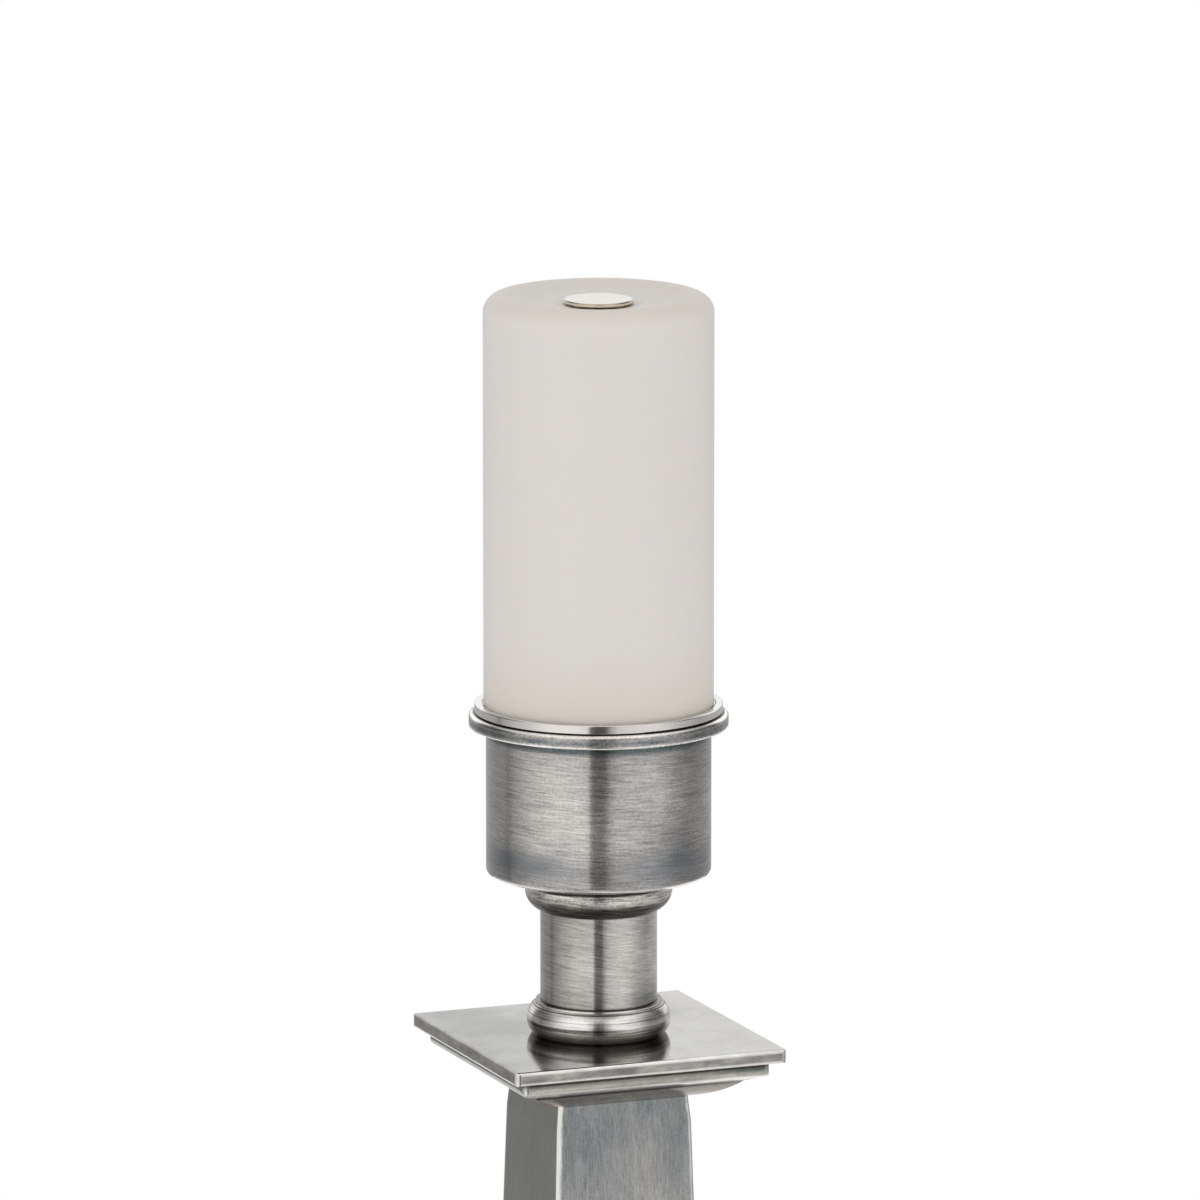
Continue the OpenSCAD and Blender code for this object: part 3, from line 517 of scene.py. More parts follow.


# %% [markdown]
# The cup has the tallest of the turned walls, and it tells most about the hand: rubbed bright at the
# front left, a bluish film low down and to the right, and a dark teal line under the flange that is
# partly patina and partly painted shade. Its underside is painted brown-black shade. Its
# lower edge is bare all round, a hair's breadth wide.
#
# Here and below, `near(rise, 25 * MM, 24 * MM)` reads: near 25 mm up, and fading out over 24 mm. In a
# sum, a number by itself is the level all over, one that multiplies a share says how much that place
# adds, and one that multiplies a noise says how uneven it all is.


# %% Cup nickel
def cup_nickel():
    finish = turned("cup_nickel")
    strokes = round_strokes(finish)
    cloud = finish.noise((55, 55, 55), 3.0, 0.6, (9, 4, 2))
    patch = finish.noise((42, 42, 70), 2.0, 0.6, (2.6, 8, 5))
    foot, top = bottom_of("cup"), top_of("cup")
    rise, across = finish.z - foot, finish.across

    rubbed = near(rise, 25 * MM, 24 * MM) * 0.80 + cloud * 1.9 + 0.22 - across * 18
    brushed = finish.blend(rubbed.clamped(), metal(0.34, 1.015, 0.985), metal(0.575))
    # Painted shade under the flange, over a teal patina.
    patina_and_shade_under_flange = finish.z.step(top - 3.6 * MM, top - 1.6 * MM) * (0.92 + patch * 0.5)
    dimmed = finish.blend(patina_and_shade_under_flange.clamped(), brushed, teal_patina_and_shade_colour)

    low_left, low_right = near(across, -18 * MM, 15 * MM), near(across, 16 * MM, 14 * MM)
    low_band = near(rise, 7.2 * MM, 6.4 * MM) * (low_left * 0.60 + low_right * 0.22 + 0.24 + patch * 0.55)
    right_side = near(across, 23 * MM, 8 * MM) * near(rise, 18 * MM, 20 * MM) * (0.24 + patch * 1.6)
    left_edge = across.step(-20 * MM, -31 * MM) * 0.42
    film = low_band.most(0) + right_side.most(0) + left_edge + patch * 0.4

    lower_edge = finish.faces_up.step(-0.25, -0.60) * finish.faces_up.step(-0.97, -0.8)
    # Painted brown-black shade on the faces that look down.
    underside_shade = finish.faces_up.step(-0.9, -0.995) * 0.85
    return age(finish, dimmed, strokes, film * (0.9 + strokes), underside_shade, lower_edge, rough=0.20)


wear(cup_nickel(), "cup")

# %% [markdown]
# The flange is the thick ring round the cup's mouth. Hands catch it above and below, so both of its
# rounded edges are bare, and the middle of its side keeps the film. Its flat faces lie under the
# light unit and against the cup, and are painted brown-black as shade.


# %% Flange nickel
def flange_nickel():
    finish = turned("flange_nickel")
    strokes = round_strokes(finish, leaning=0.5, grain=1.8)
    cloud = finish.noise((150, 150, 420), 3.0, 0.6, (5, 2, 1))
    low, high = bottom_of("cup_flange"), top_of("cup_flange")
    tilt = finish.faces_up

    brushed = finish.blend((cloud * 2.0 + 0.5).clamped(), metal(0.38), metal(0.58))
    middle = near(finish.z, (low + high) / 2 - 0.2 * MM, 1.5 * MM) * (0.74 + cloud * 2.2)
    upper_edge = tilt.step(0.30, 0.75) * tilt.step(0.999, 0.97) * (0.95 + cloud * 0.8)
    lower_edge = finish.z.step(low + 0.9 * MM, low + 0.4 * MM) * tilt.step(-0.97, -0.85) * (0.9 + cloud * 0.6)
    # Painted brown-black shade on the flat faces, under the light unit and against the cup.
    shaded_flat_faces = tilt.step(0.990, 0.9995) * 0.9 + tilt.step(-0.93, -0.99) * 0.81
    return age(finish, brushed, strokes, middle, shaded_flat_faces, upper_edge + lower_edge)


wear(flange_nickel(), "cup_flange")

# %% [markdown]
# The neck was rubbed brighter on its right side than on its left, and is painted dark with shade
# where it meets the collars. Nothing on it stands proud, so it has no bare edge.


# %% Neck nickel
def neck_nickel():
    finish = turned("neck_nickel")
    strokes = round_strokes(finish, level=0.68, grain=0.6, slope=0.20)
    cloud = finish.noise((80, 80, 80), 3.0, 0.6, (4, 4, 2))
    foot, top = top_of("torus_collar"), bottom_of("bead_collar")

    half_way = near(finish.z, (foot + top) / 2, 11 * MM)
    rubbed = cloud * 2.2 + 0.35 + finish.x * 30 + half_way * 0.25
    brushed = finish.blend(rubbed.clamped(), metal(0.405, 1.055, 0.93), metal(0.73))
    low_right = finish.x.step(0, 12 * MM) * finish.z.step(foot + 9 * MM, foot + 2 * MM) * 0.6
    # Painted shade where the neck meets the collars.
    shade_at_ends = near(finish.z, foot, 0.8 * MM).most(near(finish.z, top, 0.4 * MM)) * 0.9
    return age(finish, brushed, strokes, cloud * 1.2 + low_right, shade_at_ends, finish.nowhere(), rough=0.15)


wear(neck_nickel(), "neck_tube")

# %% [markdown]
# The collar under the cup was brushed hard. Its whole lower third, which faces down, is painted
# brown-black shade, and the narrow part right under the cup is a painted shadow.


# %% Upper collar nickel
def share_up(finish, node):
    """How far up the node the shaded point is, from 0 at its lower end to 1 at its upper end."""
    return (finish.z - bottom_of(node)) / (top_of(node) - bottom_of(node))


def bead_nickel():
    finish = turned("bead_nickel")
    strokes = round_strokes(finish, level=2.5, leaning=1.6, grain=1.6)
    cloud = finish.noise((110, 110, 160), 3.0, 0.6, (4, 1, 2))
    top = top_of("bead_collar")

    brushed = finish.blend((cloud * 2.4 + 0.5).clamped(), metal(0.40, 1.06, 0.94), metal(0.76, 1.05, 0.94))
    # Painted brown-black shade on the lower third, which faces down.
    lower_third_shade = (share_up(finish, "bead_collar") + cloud * 0.25).step(0.60, 0.28) * 0.95
    # Painted shadow right under the cup.
    shadow_under_cup = (finish.z + cloud * MM).step(top - 3.3 * MM, top - 2.7 * MM)
    return age(finish, brushed, strokes, cloud * 0.8, lower_third_shade + shadow_under_cup, finish.nowhere(), rough=0.24)


wear(bead_nickel(), "bead_collar")

# %% [markdown]
# The collar on the plate was cut with a pointed tool, which left fine dark lines that run level all
# round: a noise that hardly changes along X and Y, and quickly along Z. Its round belly was rubbed
# bright and carries a painted highlight, brighter on both cheeks than in the middle as seen from the
# front left. Its lower part is painted brown-black shade. The thin lip on top is bare, with a painted
# shade line under it and painted shade in the seam where the neck goes in.


# %% Lower collar nickel
def torus_nickel():
    finish = turned("torus_nickel")
    tool_lines = finish.noise((9, 9, 1400), 2.0, 0.7)
    tool_cut = tool_lines.step(-0.03, -0.11) * -0.45
    upright = 1 - finish.faces_up.absolute()
    strokes = round_strokes(finish, 1.1, 0.3, 0.6) + (tool_lines * 2.2 + tool_cut) * (0.20 + upright * 0.8)
    cloud = finish.noise((90, 90, 130), 3.0, 0.6, (4, 7, 2))
    share, top = share_up(finish, "torus_collar"), top_of("torus_collar")

    aside = finish.across.absolute()
    # Painted highlight on the belly, brighter on both cheeks than in the middle as seen from the front left.
    cheek_highlights = 0.62 + aside.step(1 * MM, 9 * MM) * 1.10 - aside.step(13 * MM, 20 * MM)
    belly_highlight = near(share, 0.66, 0.52) * cheek_highlights
    brushed = finish.blend((belly_highlight + cloud * 1.2).clamped(), metal(0.30, 1.07, 0.93), metal(0.97, 1.03, 0.945))
    # Painted brown-black shade on the lower part, a painted shade line under the lip, and painted shade in
    # the seam at the neck.
    foot = share.step(0.36, 0.10) * 0.72
    shade_line = near(finish.z, top - 0.95 * MM, 0.34 * MM) * 0.9
    seam_shade = finish.faces_up.step(0.9, 0.99) * 0.75
    lip = near(finish.z, top - 0.30 * MM, 0.34 * MM) * finish.faces_up.step(0.95, 0.7)
    return age(finish, brushed, strokes, cloud * 0.6, foot + shade_line + seam_shade, lip, rough=0.24)


wear(torus_nickel(), "torus_collar")

# %% [markdown]
# ## The column
#
# The column's four sides were brushed up and down, so here the strokes are upright and the blur goes
# sideways: the shader's own tangent already runs round the axis, so it needs no quarter turn. Two of
# its sides were rubbed back, and show the brush with whitish streaks, and two were left smooth and
# greenish. The corners are bare along a line about a millimetre wide, frayed on the brushed side. To
# find it, the column's half width at each height is taken from its outline, foot to shoulder to top.


# %% The column's half width
def column_half(finish):
    """Half the width of the column at the shaded point's height: it tapers, and faster over its shoulder."""
    clear_of_foot = 100 * MM
    widest = {}
    for vertex in nodes["column"].data.vertices:
        level = round(vertex.co.z, 5)
        widest[level] = max(widest.get(level, 0), vertex.co.x)
    foot, top = min(widest), max(widest)
    shoulder = max((z for z in widest if foot + clear_of_foot < z < top - MM), key=lambda z: widest[z])
    taper = (widest[shoulder] - widest[foot]) / (shoulder - foot)
    draw = (widest[top] - widest[shoulder]) / (top - shoulder)
    lower = (finish.z - foot) * taper + widest[foot]
    upper = (finish.z - top) * draw + widest[top]
    print("column:", {round(z / MM, 1): round(widest[z] / MM, 2) for z in (foot, shoulder, top)})
    return lower.least(upper)


# %% Column nickel
def column_nickel():
    finish = Finish("column_nickel", Metallic=1.0, Anisotropic=0.8)
    hair = finish.noise((2600, 2600, 240), 1.5, 0.6)
    scratch = finish.noise((900, 900, 60), 2.0, 0.6, (2, 6, 1))
    sweep = finish.noise((300, 300, 20), 2.0, 0.6, (7, 2, 1))
    speck = finish.noise((1500, 1500, 1500), 1.0, 0.5, (4, 4, 1))
    cloud = finish.noise((48, 48, 24), 3.0, 0.55, (5, 2, 8))
    fray = finish.noise((2200, 2200, 70), 1.5, 0.6, (1, 4, 9))
    low, high = bottom_of("column"), top_of("column")
    smooth_side = finish.faces_x.absolute().step(0.4, 0.8)
    strokes = (hair * 0.90 + scratch * 0.36 + sweep * 0.12 + speck * 0.45) * (1 - smooth_side * 0.5)

    # Painted shadow: the column is darker toward its top, under the moulding.
    below_top_shadow = finish.z.step(high - 8 * MM, high - 34 * MM)
    rubbed = cloud * 2.4 + sweep * 0.7 + 0.22 + below_top_shadow * 0.34
    worn = finish.blend(rubbed.clamped(), metal(0.295, 0.94, 1.005), metal(0.485, 1.03, 0.97))
    brushed = finish.blend(smooth_side, worn, metal(0.34, 0.985, 0.92))

    from_corner = column_half(finish) * 2 - finish.x.absolute() - finish.y.absolute()
    frayed = from_corner + (fray * 1.8 + hair * 0.8) * MM * (1 - smooth_side)
    far_corner = finish.x.step(15 * MM, 25 * MM)
    bare = frayed.step(1.55 * MM, 0.60 * MM) * (0.95 + cloud * 0.8) * (1 - far_corner * 0.6)
    # Painted shade where the column meets the mouldings.
    shade_at_ends = near(finish.z, high, 0.6 * MM).most(near(finish.z, low, 0.6 * MM)) * 0.7
    return age(finish, brushed, strokes, cloud * 0.8, shade_at_ends, bare, rough=0.33, film_is=green_colour)


wear(column_nickel(), "column")

# %% [markdown]
# ## The plate, the mouldings and the foot
#
# These are castings with the same plating, rubbed with a cloth in all directions: their strokes are
# short and faint, and nothing blurs a reflection to one side. Each has a worn line along its proud
# edges, where the surface turns from flat to upright. How that is found depends on the piece, so the
# helpers hold only what they share: the strokes, the bare upright corners, and which sides face X.


# %% Helpers for the castings
def soft_strokes(finish, contrast):
    """Short faint strokes on a casting that was rubbed by hand in all directions."""
    fine = finish.noise((620, 620, 1500), 2.0, 0.6)
    smear = finish.noise((150, 150, 700), 3.0, 0.6, (3, 3, 6))
    return (fine * 0.35 + smear * 0.40) * contrast


def worn_corner(finish):
    """A share that is near 1 on rounded upright corners, halfway between facing X and facing Y."""
    beside = finish.faces_x.absolute()
    return beside.step(0.10, 0.30) * beside.step(0.99, 0.92) * finish.faces_up.absolute().step(0.5, 0.2) * 0.7


def x_side(finish):
    """A share that is 1 on the two sides that face X, and 0 on those that face Y."""
    return (finish.x.absolute() - finish.y.absolute()).step(-0.4 * MM, 0.4 * MM)


# %% [markdown]
# The plate is the smoothest piece of the stand: it mirrors the collar that stands on it, and its
# tarnish is only a cloud. Its top is painted darker to the left as shade, and its underside is painted
# brown-black shade. Its side is darker and mottled, and bare along both
# edges, which are found by height. The sides that face X were hardly rubbed, so they stay dull there.


# %% Plate nickel
def plate_nickel():
    finish = Finish("plate_nickel", Metallic=1.0)
    cloud = finish.noise((26, 26, 26), 2.0, 0.5, (4, 3, 9))
    smear = finish.noise((110, 110, 320), 3.0, 0.6, (2, 2, 9))
    patch = finish.noise((240, 240, 500), 3.0, 0.6, (6, 1, 1))
    strokes = soft_strokes(finish, 0.8) + finish.noise((160, 900, 160), 2.0, 0.6) * 0.12
    low, high = bottom_of("top_slab"), top_of("top_slab")
    flat = finish.faces_up.absolute().step(0.90, 0.99)

    # finish.x * 10 is painted shade: the top gets darker to the left.
    rubbed = cloud * 3.2 + smear * 0.8 + 0.60 + finish.x * 10
    top = finish.blend(rubbed.clamped(), metal(0.27, 1.0, 0.94), metal(0.475, 1.011, 0.945))
    mottled = cloud * 2.0 + smear * 3.0 + 0.5
    side = finish.blend(mottled.clamped(), metal(0.22, 1.03, 0.94), metal(0.46, 1.04, 0.935))
    brushed = finish.blend(flat, side, top)

    dull, far = x_side(finish), finish.x.step(20 * MM, 45 * MM)
    upper_edge = finish.z.step(high - 1.3 * MM, high - 0.6 * MM) * (1 - dull * 0.9) * (1 - far * 0.3)
    lower_edge = finish.z.step(low + 1.1 * MM, low + 0.5 * MM) * (0.8 - dull * 0.3)
    bare = (upper_edge + lower_edge).most(worn_corner(finish)) * (0.88 + patch * 0.9) * (1 - flat)
    # Painted brown-black shade on the faces that look down.
    underside_shade = finish.faces_up.step(-0.95, -0.99) * 0.9
    return age(finish, brushed, strokes, cloud * 0.6, underside_shade, bare, rough=0.085, depth=0.003 * MM)


wear(plate_nickel(), "top_slab")

# %% [markdown]
# Each moulding is a double one: a flat band that ends in a round, then a deep crease, then a swell.
# All of it is found by the distance from the wide end, where the section starts. The round is bare,
# the crease is brown-black with painted shade, and the swell is painted brown shade, deeper under the
# upper moulding. A painted shade line runs along the wide end, in the seam with the next piece, and
# along the narrow end, where the column goes in. The band goes to dark teal at the far end,
# where the cloth never came, and the sides that face X are dull all over. The lower moulding is the
# same one the other way up, and larger, so one function dresses both.


# %% Moulding nickel
def moulding_nickel(name, node, up, neck, round_end, crease_at):
    """Up is 1 where the moulding widens upwards, as the upper one does, and -1 where it widens down."""
    finish = Finish(name, Metallic=1.0)
    strokes = soft_strokes(finish, 1.7)
    cloud = finish.noise((50, 50, 110), 3.0, 0.55, (4, 8, 9))
    wide_end = top_of(node) if up > 0 else bottom_of(node)
    depth = (finish.z - wide_end) * -up
    far, dull = finish.x.step(10 * MM, 50 * MM), x_side(finish)

    brushed = finish.blend((cloud * 2.4 + 0.5).clamped(), metal(0.30, 1.06, 0.92), metal(0.51, 1.05, 0.92))
    band = (depth - far * 0.4 * MM).step(round_end * 0.62, round_end * 0.30)
    band = (band * (0.62 + cloud * 1.8 + far * 0.6)).most(dull * 0.75)
    dimmed = finish.blend(band.clamped(), brushed, finish.blend(far, green_colour, dark_teal_colour))

    worn_round = near(depth, round_end * 0.93, round_end * 0.26) * (1.20 + cloud * 1.8) * (1 - dull * 0.8)
    corner = worn_corner(finish) * depth.step(0, round_end * 0.7) * (1 - dull * 0.4)
    # Painted shade line along the wide end, in the seam with the next piece.
    seam_shade = depth.step(1.7 * MM, 1.0 * MM)
    crease_reach = (crease_at - round_end) * 0.65
    # Brown-black crease with painted shade in it.
    crease_and_shade = near(depth, crease_at - 0.05 * MM, crease_reach) * (1.30 + cloud - far * 1.6)
    # Painted shade line where the narrow end meets the column.
    shade_at_narrow_end = near(finish.z, neck, 0.6 * MM) * 0.7
    # The swell is painted brown shade, deeper under the upper moulding's ledge than on the lower one.
    swell_shade_level = 0.65 if up > 0 else 0.25
    swell_shade = depth.step(crease_at - 0.3 * MM, crease_at + 0.5 * MM) * (swell_shade_level + cloud * 1.6)
    dark, bare = seam_shade + crease_and_shade + shade_at_narrow_end, worn_round.most(corner)
    return age(finish, dimmed, strokes, swell_shade, dark, bare, rough=0.20, film_is=smoke_shade_colour)


cap_nickel = moulding_nickel("cap_nickel", "cap_moulding", 1, top_of("column"), 4.7 * MM, 6.25 * MM)
base_nickel = moulding_nickel("base_nickel", "base_moulding", -1, bottom_of("column"), 8 * MM, 11 * MM)
wear(cap_nickel, "cap_moulding")
wear(base_nickel, "base_moulding")

# %% [markdown]
# The step and the foot under the lower moulding are plainer. Their edges are rounded, so a worn edge
# is where the surface faces halfway between flat and upright. Dust and acid stay in the two seams,
# and the faces that look down are painted brown-black shade.


# %% Foot nickel
def worn_edge(finish):
    """A share that is 1 on rounded edges, halfway between flat and upright."""
    patch = finish.noise((170, 170, 170), 3.0, 0.6, (6, 1, 1))
    tilt = finish.faces_up.absolute() + patch * 0.4
    return tilt.step(0.36, 0.62) * tilt.step(0.96, 0.70) * (0.70 + patch * 2.4)


def foot_nickel():
    finish = Finish("foot_nickel", Metallic=1.0)
    strokes = soft_strokes(finish, 1.2)
    cloud = finish.noise((32, 32, 60), 3.0, 0.55, (1, 8, 9))
    brushed = finish.blend((cloud * 2.4 + 0.5).clamped(), metal(0.38, 1.0, 0.95), metal(0.62, 1.03, 0.94))
    lower_seam = near(finish.z, bottom_of("base_foot"), 0.8 * MM)
    upper_seam = near(finish.z, bottom_of("base_plinth"), 0.4 * MM)
    # Painted brown-black shade on the faces that look down.
    underside_shade = finish.faces_up.step(-0.95, -0.99)
    crease_and_shade = lower_seam.most(upper_seam) * 0.75 + underside_shade * 0.85
    return age(finish, brushed, strokes, cloud * 1.2, crease_and_shade, worn_edge(finish), rough=0.18)


wear(foot_nickel(), "base_plinth", "base_foot")

# %% [markdown]
# ## Opal glass
#
# The shade is blown from white glass and frosted on the outside. Light goes in, wanders and comes
# out again, so it has hardly any shading. Subsurface scattering does that. Painted shade makes the
# glass darker and warmer round its foot and on its domed top.


# %% Opal glass
def opal_glass():
    finish = Finish("opal_glass", Roughness=0.5, Subsurface_Weight=0.35, Subsurface_Scale=0.01)
    finish.set(Subsurface_Radius=(1.0, 0.6, 0.4))
    veil = finish.noise((18, 18, 12), detail=2.0)
    low, high = bottom_of("glass_shade"), top_of("glass_shade")
    # Painted shade: darker and warmer round the foot and on the domed top.
    foot = finish.z.step(low + 26 * MM, low)
    top = finish.z.step(high - 6 * MM, high)
    pale = finish.blend(foot * 0.6, (0.705, 0.660, 0.628, 1), (0.66, 0.580, 0.50, 1))
    pale = finish.blend(top * 0.75, pale, (0.61, 0.57, 0.515, 1))
    return finish.set(Base_Color=finish.tint(pale, 1 + veil * 0.03))


wear(opal_glass(), "glass_shade")

# %% [markdown]
# ## Polished nickel
#
# The ring round the glass and the disc on top are polished, with a slightly warm tone and a faint
# haze from wiping. The disc's own edge was left as it came from the cutter, and has gone the colour
# of straw, with a painted highlight line round its middle.


# %% Polished nickel
def polished(name, rough):
    """A mirror of a finish and the haze on it, a noise round 0."""
    finish = Finish(name, Metallic=1.0)
    haze = finish.noise((160, 160, 500), detail=2.0)
    return finish.set(Roughness=rough + haze * 0.08), haze


def ring_nickel():
    finish, haze = polished("ring_nickel", 0.06)
    hair = finish.noise((300, 300, 3000), 2.0, shift=(1, 2, 3))
    return finish.set(Base_Color=finish.tint((0.775, 0.75, 0.72, 1), 1 + haze * 0.12 + hair * 0.10))


def disc_nickel():
    finish, _ = polished("disc_nickel", 0.08)
    side = finish.faces_up.step(0.75, 0.25)
    # A painted highlight line round the middle of the disc's edge.
    highlight_line = near(finish.z, top_of("press_cap") - 0.60 * MM, 0.42 * MM) * 1.6
    straw = finish.blend(highlight_line.clamped(), (0.42, 0.32, 0.20, 1), (0.95, 0.86, 0.74, 1))
    return finish.set(Base_Color=finish.blend(side, (0.62, 0.615, 0.525, 1), straw))


wear(ring_nickel(), "rim_ring", "push_rod", "guide_tube", "top_nut", "cell_contacts")
wear(disc_nickel(), "press_cap")

# %% [markdown]
# ## Inside the light unit, and under the foot
#
# None of this shows until the unit is lifted out of its cup or the lamp is laid on its side, but
# that is what the joints are for. Each stuff gets its own short recipe. First the metals.
#
# - Zinc plating is bluish where it is thin and straw-coloured where it is thick.
# - The can and the light board's carrier are turned aluminium, so their fine rings run level.
# - The ballast is raw iron: rough, dark, and rusty in patches.


# %% Metals of the inner pieces
def zinc():
    finish = Finish("zinc", Metallic=1.0)
    cloud = finish.noise((180, 180, 180), 3.0, 0.6)
    grain = finish.noise((1500, 1500, 1500), 2.0, 0.6, (1, 5, 2))
    tone = finish.blend((cloud * 3 + 0.5).clamped(), (0.50, 0.53, 0.57, 1), (0.60, 0.57, 0.50, 1))
    finish.set(Base_Color=finish.tint(tone, 1 + grain * 0.3), Roughness=0.30 + cloud * 0.15)
    return finish.bump(grain, 0.02 * MM, 0.4)


def turned_aluminium():
    finish = turned("turned_aluminium")
    rings = finish.noise((12, 12, 2600), 2.0, 0.7)
    handling = finish.noise((90, 90, 60), 3.0, 0.6, (3, 3, 1))
    finish.set(Base_Color=finish.tint((0.66, 0.66, 0.67, 1), 1 + rings * 0.5 + handling * 0.2))
    finish.set(Roughness=0.26 + handling * 0.2)
    return finish.bump(rings, 0.01 * MM, 0.5)


def cast_iron():
    finish = Finish("cast_iron", Metallic=0.6)
    lumps = finish.noise((320, 320, 320), 4.0, 0.65)
    rust = finish.noise((60, 60, 60), 3.0, 0.6, (4, 1, 1)).step(0.06, 0.16) * 0.6
    finish.set(Base_Color=finish.blend(rust, (0.11, 0.11, 0.115, 1), (0.19, 0.09, 0.045, 1)))
    finish.set(Roughness=0.68 + lumps * 0.25)
    return finish.bump(lumps, 0.25 * MM, 0.6)


stand_hardware = ("base_cover", "base_screws", "tie_washer", "tie_nut", "tie_rod", "cup_nut")
unit_hardware = ("cover_screws", "charge_port", "unit_screws", "tube_nut")
wear(zinc(), *stand_hardware, *unit_hardware)
wear(turned_aluminium(), "battery_housing", "heat_spreader")
wear(cast_iron(), "base_weight")

# %% [markdown]
# Rubber and plastic differ in little but colour, shine and the grain of their mould, so one function
# makes them all from those three.


# %% Rubber and plastic
def moulded(name, colour, rough, grain, contrast, depth):
    """Rubber or plastic with the fine texture of its mould."""
    finish = Finish(name)
    texture = finish.noise((grain, grain, grain), 3.0, 0.6)
    wiped = finish.noise((70, 70, 70), 2.0, 0.5, (2, 7, 3))
    finish.set(Base_Color=finish.tint(colour, 1 + texture * contrast), Roughness=rough + wiped * 0.25)
    return finish.bump(texture, depth, 0.5)


rubber = moulded("rubber", (0.022, 0.021, 0.020, 1), 0.62, 900, 0.5, 0.04 * MM)
plastic = moulded("plastic", (0.030, 0.030, 0.031, 1), 0.42, 1300, 0.4, 0.03 * MM)
switch_plastic = moulded("switch_plastic", (0.045, 0.045, 0.048, 1), 0.36, 1500, 0.3, 0.02 * MM)
red_plunger = moulded("red_plunger", (0.42, 0.030, 0.020, 1), 0.38, 1500, 0.25, 0.02 * MM)
board_white = moulded("board_white", (0.80, 0.80, 0.78, 1), 0.45, 600, 0.06, 0.02 * MM)
wear(rubber, "glass_gasket", "top_washer", "seat_ring")
wear(plastic, "housing_cover", "cell_holder")
wear(switch_plastic, "switch_body")
wear(red_plunger, "switch_plunger")
wear(board_white, "led_board")

# %% [markdown]
# Three pieces are left, each of a stuff of its own. Where one has two colours, how far the surface
# faces up tells them apart.
#
# - The cells wear a tight glossy sleeve that leaves their steel ends bare.
# - The board's green varnish ran a little before it set, so its shine varies.
# - A light chip is a white frame round a yellow window that looks up.


# %% Cells, board and chips
def cell_sleeve():
    finish = Finish("cell_sleeve")
    end = finish.faces_up.absolute().step(0.7, 0.9)
    wrinkle = finish.noise((120, 120, 700), 3.0, 0.6)
    sleeve = finish.tint((0.03, 0.16, 0.27, 1), 1 + wrinkle * 0.6)
    finish.set(Base_Color=finish.blend(end, sleeve, (0.62, 0.62, 0.60, 1)), Metallic=end)
    finish.set(Roughness=0.24 + wrinkle * 0.15 + end * 0.1)
    return finish.bump(wrinkle, 0.05 * MM, 0.4)


def varnished_board():
    finish = Finish("board_green")
    flow = finish.noise((60, 60, 60), 1.0)
    return finish.set(Base_Color=(0.012, 0.095, 0.040, 1), Roughness=0.32 + flow * 0.2)


def light_chip():
    finish = Finish("light_chip", Roughness=0.35)
    speck = finish.noise((2500, 2500, 2500), 2.0)
    window = finish.tint((0.80, 0.62, 0.12, 1), 1 + speck * 0.25)
    return finish.set(Base_Color=finish.blend(finish.faces_up.step(0.6, 0.9), (0.82, 0.82, 0.80, 1), window))


wear(cell_sleeve(), "battery_cells")
wear(varnished_board(), "control_board")
wear(light_chip(), "led_chips")
print("finishes:", len(bpy.data.materials))

# %% [markdown]
# ## The felt pad
#
# The lamp stands on a square of felt glued under its foot. The frame holds a plain slab in its place.
# Felt has no sharp edge: it is cut with shears, so its rim wavers and its edges are soft. A bevelled
# box would be too even. So a plane is laid at the pad's middle, smaller by the room that its rim
# needs to waver, its corners are rounded, its rim gets many points and each is moved by a tenth of a
# millimetre.

# %% The pad's outline
pad_low, pad_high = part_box("base_pad")
pad_side = pad_high.x - pad_low.x
pad_middle = (pad_low.z + pad_high.z) / 2
pad_corner, corner_points = 4 * MM, 6
rim_waver, rim_cuts = 0.1 * MM, 24

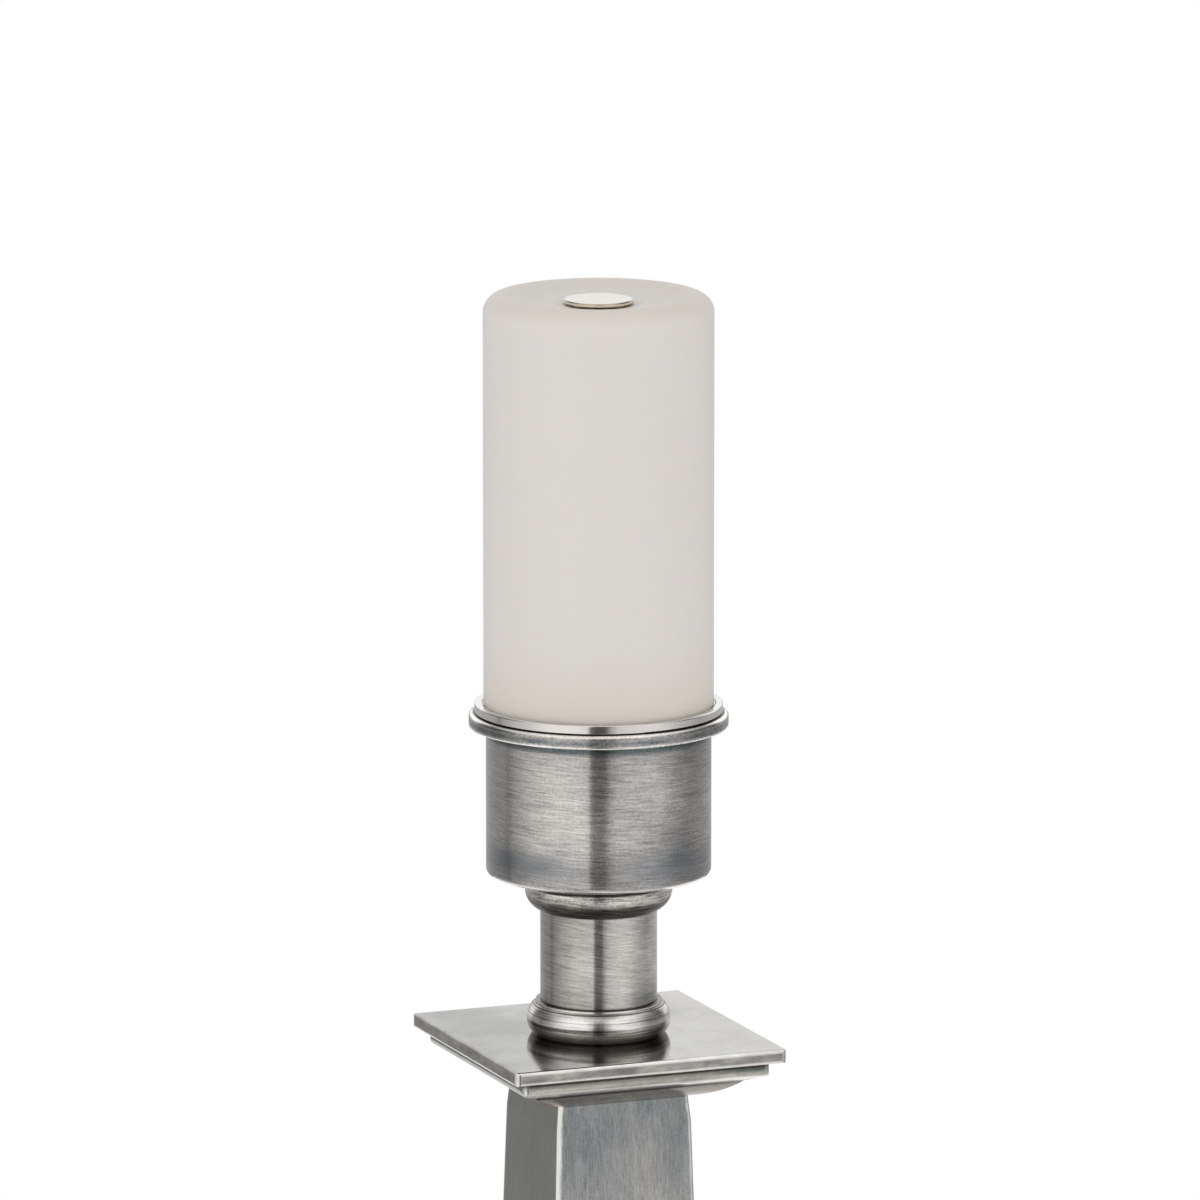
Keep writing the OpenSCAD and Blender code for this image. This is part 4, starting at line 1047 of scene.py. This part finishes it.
bpy.ops.object.select_all(action="DESELECT")
bpy.ops.mesh.primitive_plane_add(size=pad_side - 4 * rim_waver, location=(0, 0, pad_middle))
felt_pad = bpy.context.object
felt_pad.name = "felt_pad"
bpy.ops.object.transform_apply(location=True)
bpy.ops.object.mode_set(mode="EDIT")
bpy.ops.mesh.bevel(offset=pad_corner, offset_type="OFFSET", segments=corner_points, affect="VERTICES")
bpy.ops.object.mode_set(mode="OBJECT")
for edge in felt_pad.data.edges:
    first, second = (felt_pad.data.vertices[i].co for i in edge.vertices)
    edge.select = (first - second).length > 2 * pad_corner
for polygon in felt_pad.data.polygons:
    polygon.select = False
bpy.ops.object.mode_set(mode="EDIT")
bpy.ops.mesh.select_mode(type="EDGE")
bpy.ops.mesh.subdivide(number_cuts=rim_cuts)
bpy.ops.mesh.select_all(action="SELECT")
bpy.ops.transform.vertex_random(offset=rim_waver, seed=4)
bpy.ops.object.mode_set(mode="OBJECT")
for vertex in felt_pad.data.vertices:
    vertex.co.z = pad_middle
print("felt pad:", len(felt_pad.data.vertices), "points round its rim")

# %% [markdown]
# The random move also lifted points off the plane, which the last lines undid. Solidify now gives
# the felt its thickness, half to each side of its middle, and a bevel its soft edges. The bevel's
# angle limit keeps it to the rim.

# %% The pad's thickness and soft edges
pad_thickness = pad_high.z - pad_low.z
edge_softness, edge_rounds = 0.3 * pad_thickness, 3

thicken = felt_pad.modifiers.new("thickness", "SOLIDIFY")
thicken.thickness = pad_thickness
thicken.offset = 0
bpy.ops.object.modifier_apply(modifier=thicken.name)
soften = felt_pad.modifiers.new("soft edges", "BEVEL")
soften.width = edge_softness
soften.segments = edge_rounds
soften.angle_limit = math.radians(60)
bpy.ops.object.modifier_apply(modifier=soften.name)
bpy.ops.object.shade_smooth_by_angle(angle=math.radians(40))
pad_size = [round(side / MM, 2) for side in felt_pad.dimensions]
print("felt pad:", len(felt_pad.data.polygons), "faces,", pad_size, "mm")

# %% [markdown]
# Felt has no weave. Its fibres lie in all directions, so two noises are added that are long along X
# and along Y, and lint sits on it in pale specks. A little sheen lights it where it is seen from the
# side, as on any cloth with a nap.


# %% Felt
def felt():
    finish = Finish("felt", Roughness=0.95, Sheen_Weight=0.25, Sheen_Roughness=0.5)
    fibres = finish.noise((900, 2400, 900), 3.0, 0.7) + finish.noise((2400, 900, 900), 3.0, 0.7, (3, 1, 2))
    lint = finish.noise((140, 140, 140), 3.0, 0.6, (8, 2, 2)).step(0.10, 0.20)
    finish.set(Base_Color=finish.tint((0.032, 0.032, 0.034, 1), 1 + fibres * 0.9 + lint * 0.5))
    return finish.bump(fibres, 0.15 * MM, 0.8)


pad_finish = felt()
felt_pad.data.materials.append(pad_finish.material)
wear(pad_finish, "base_pad")
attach(felt_pad, "stand")
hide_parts("base_pad")
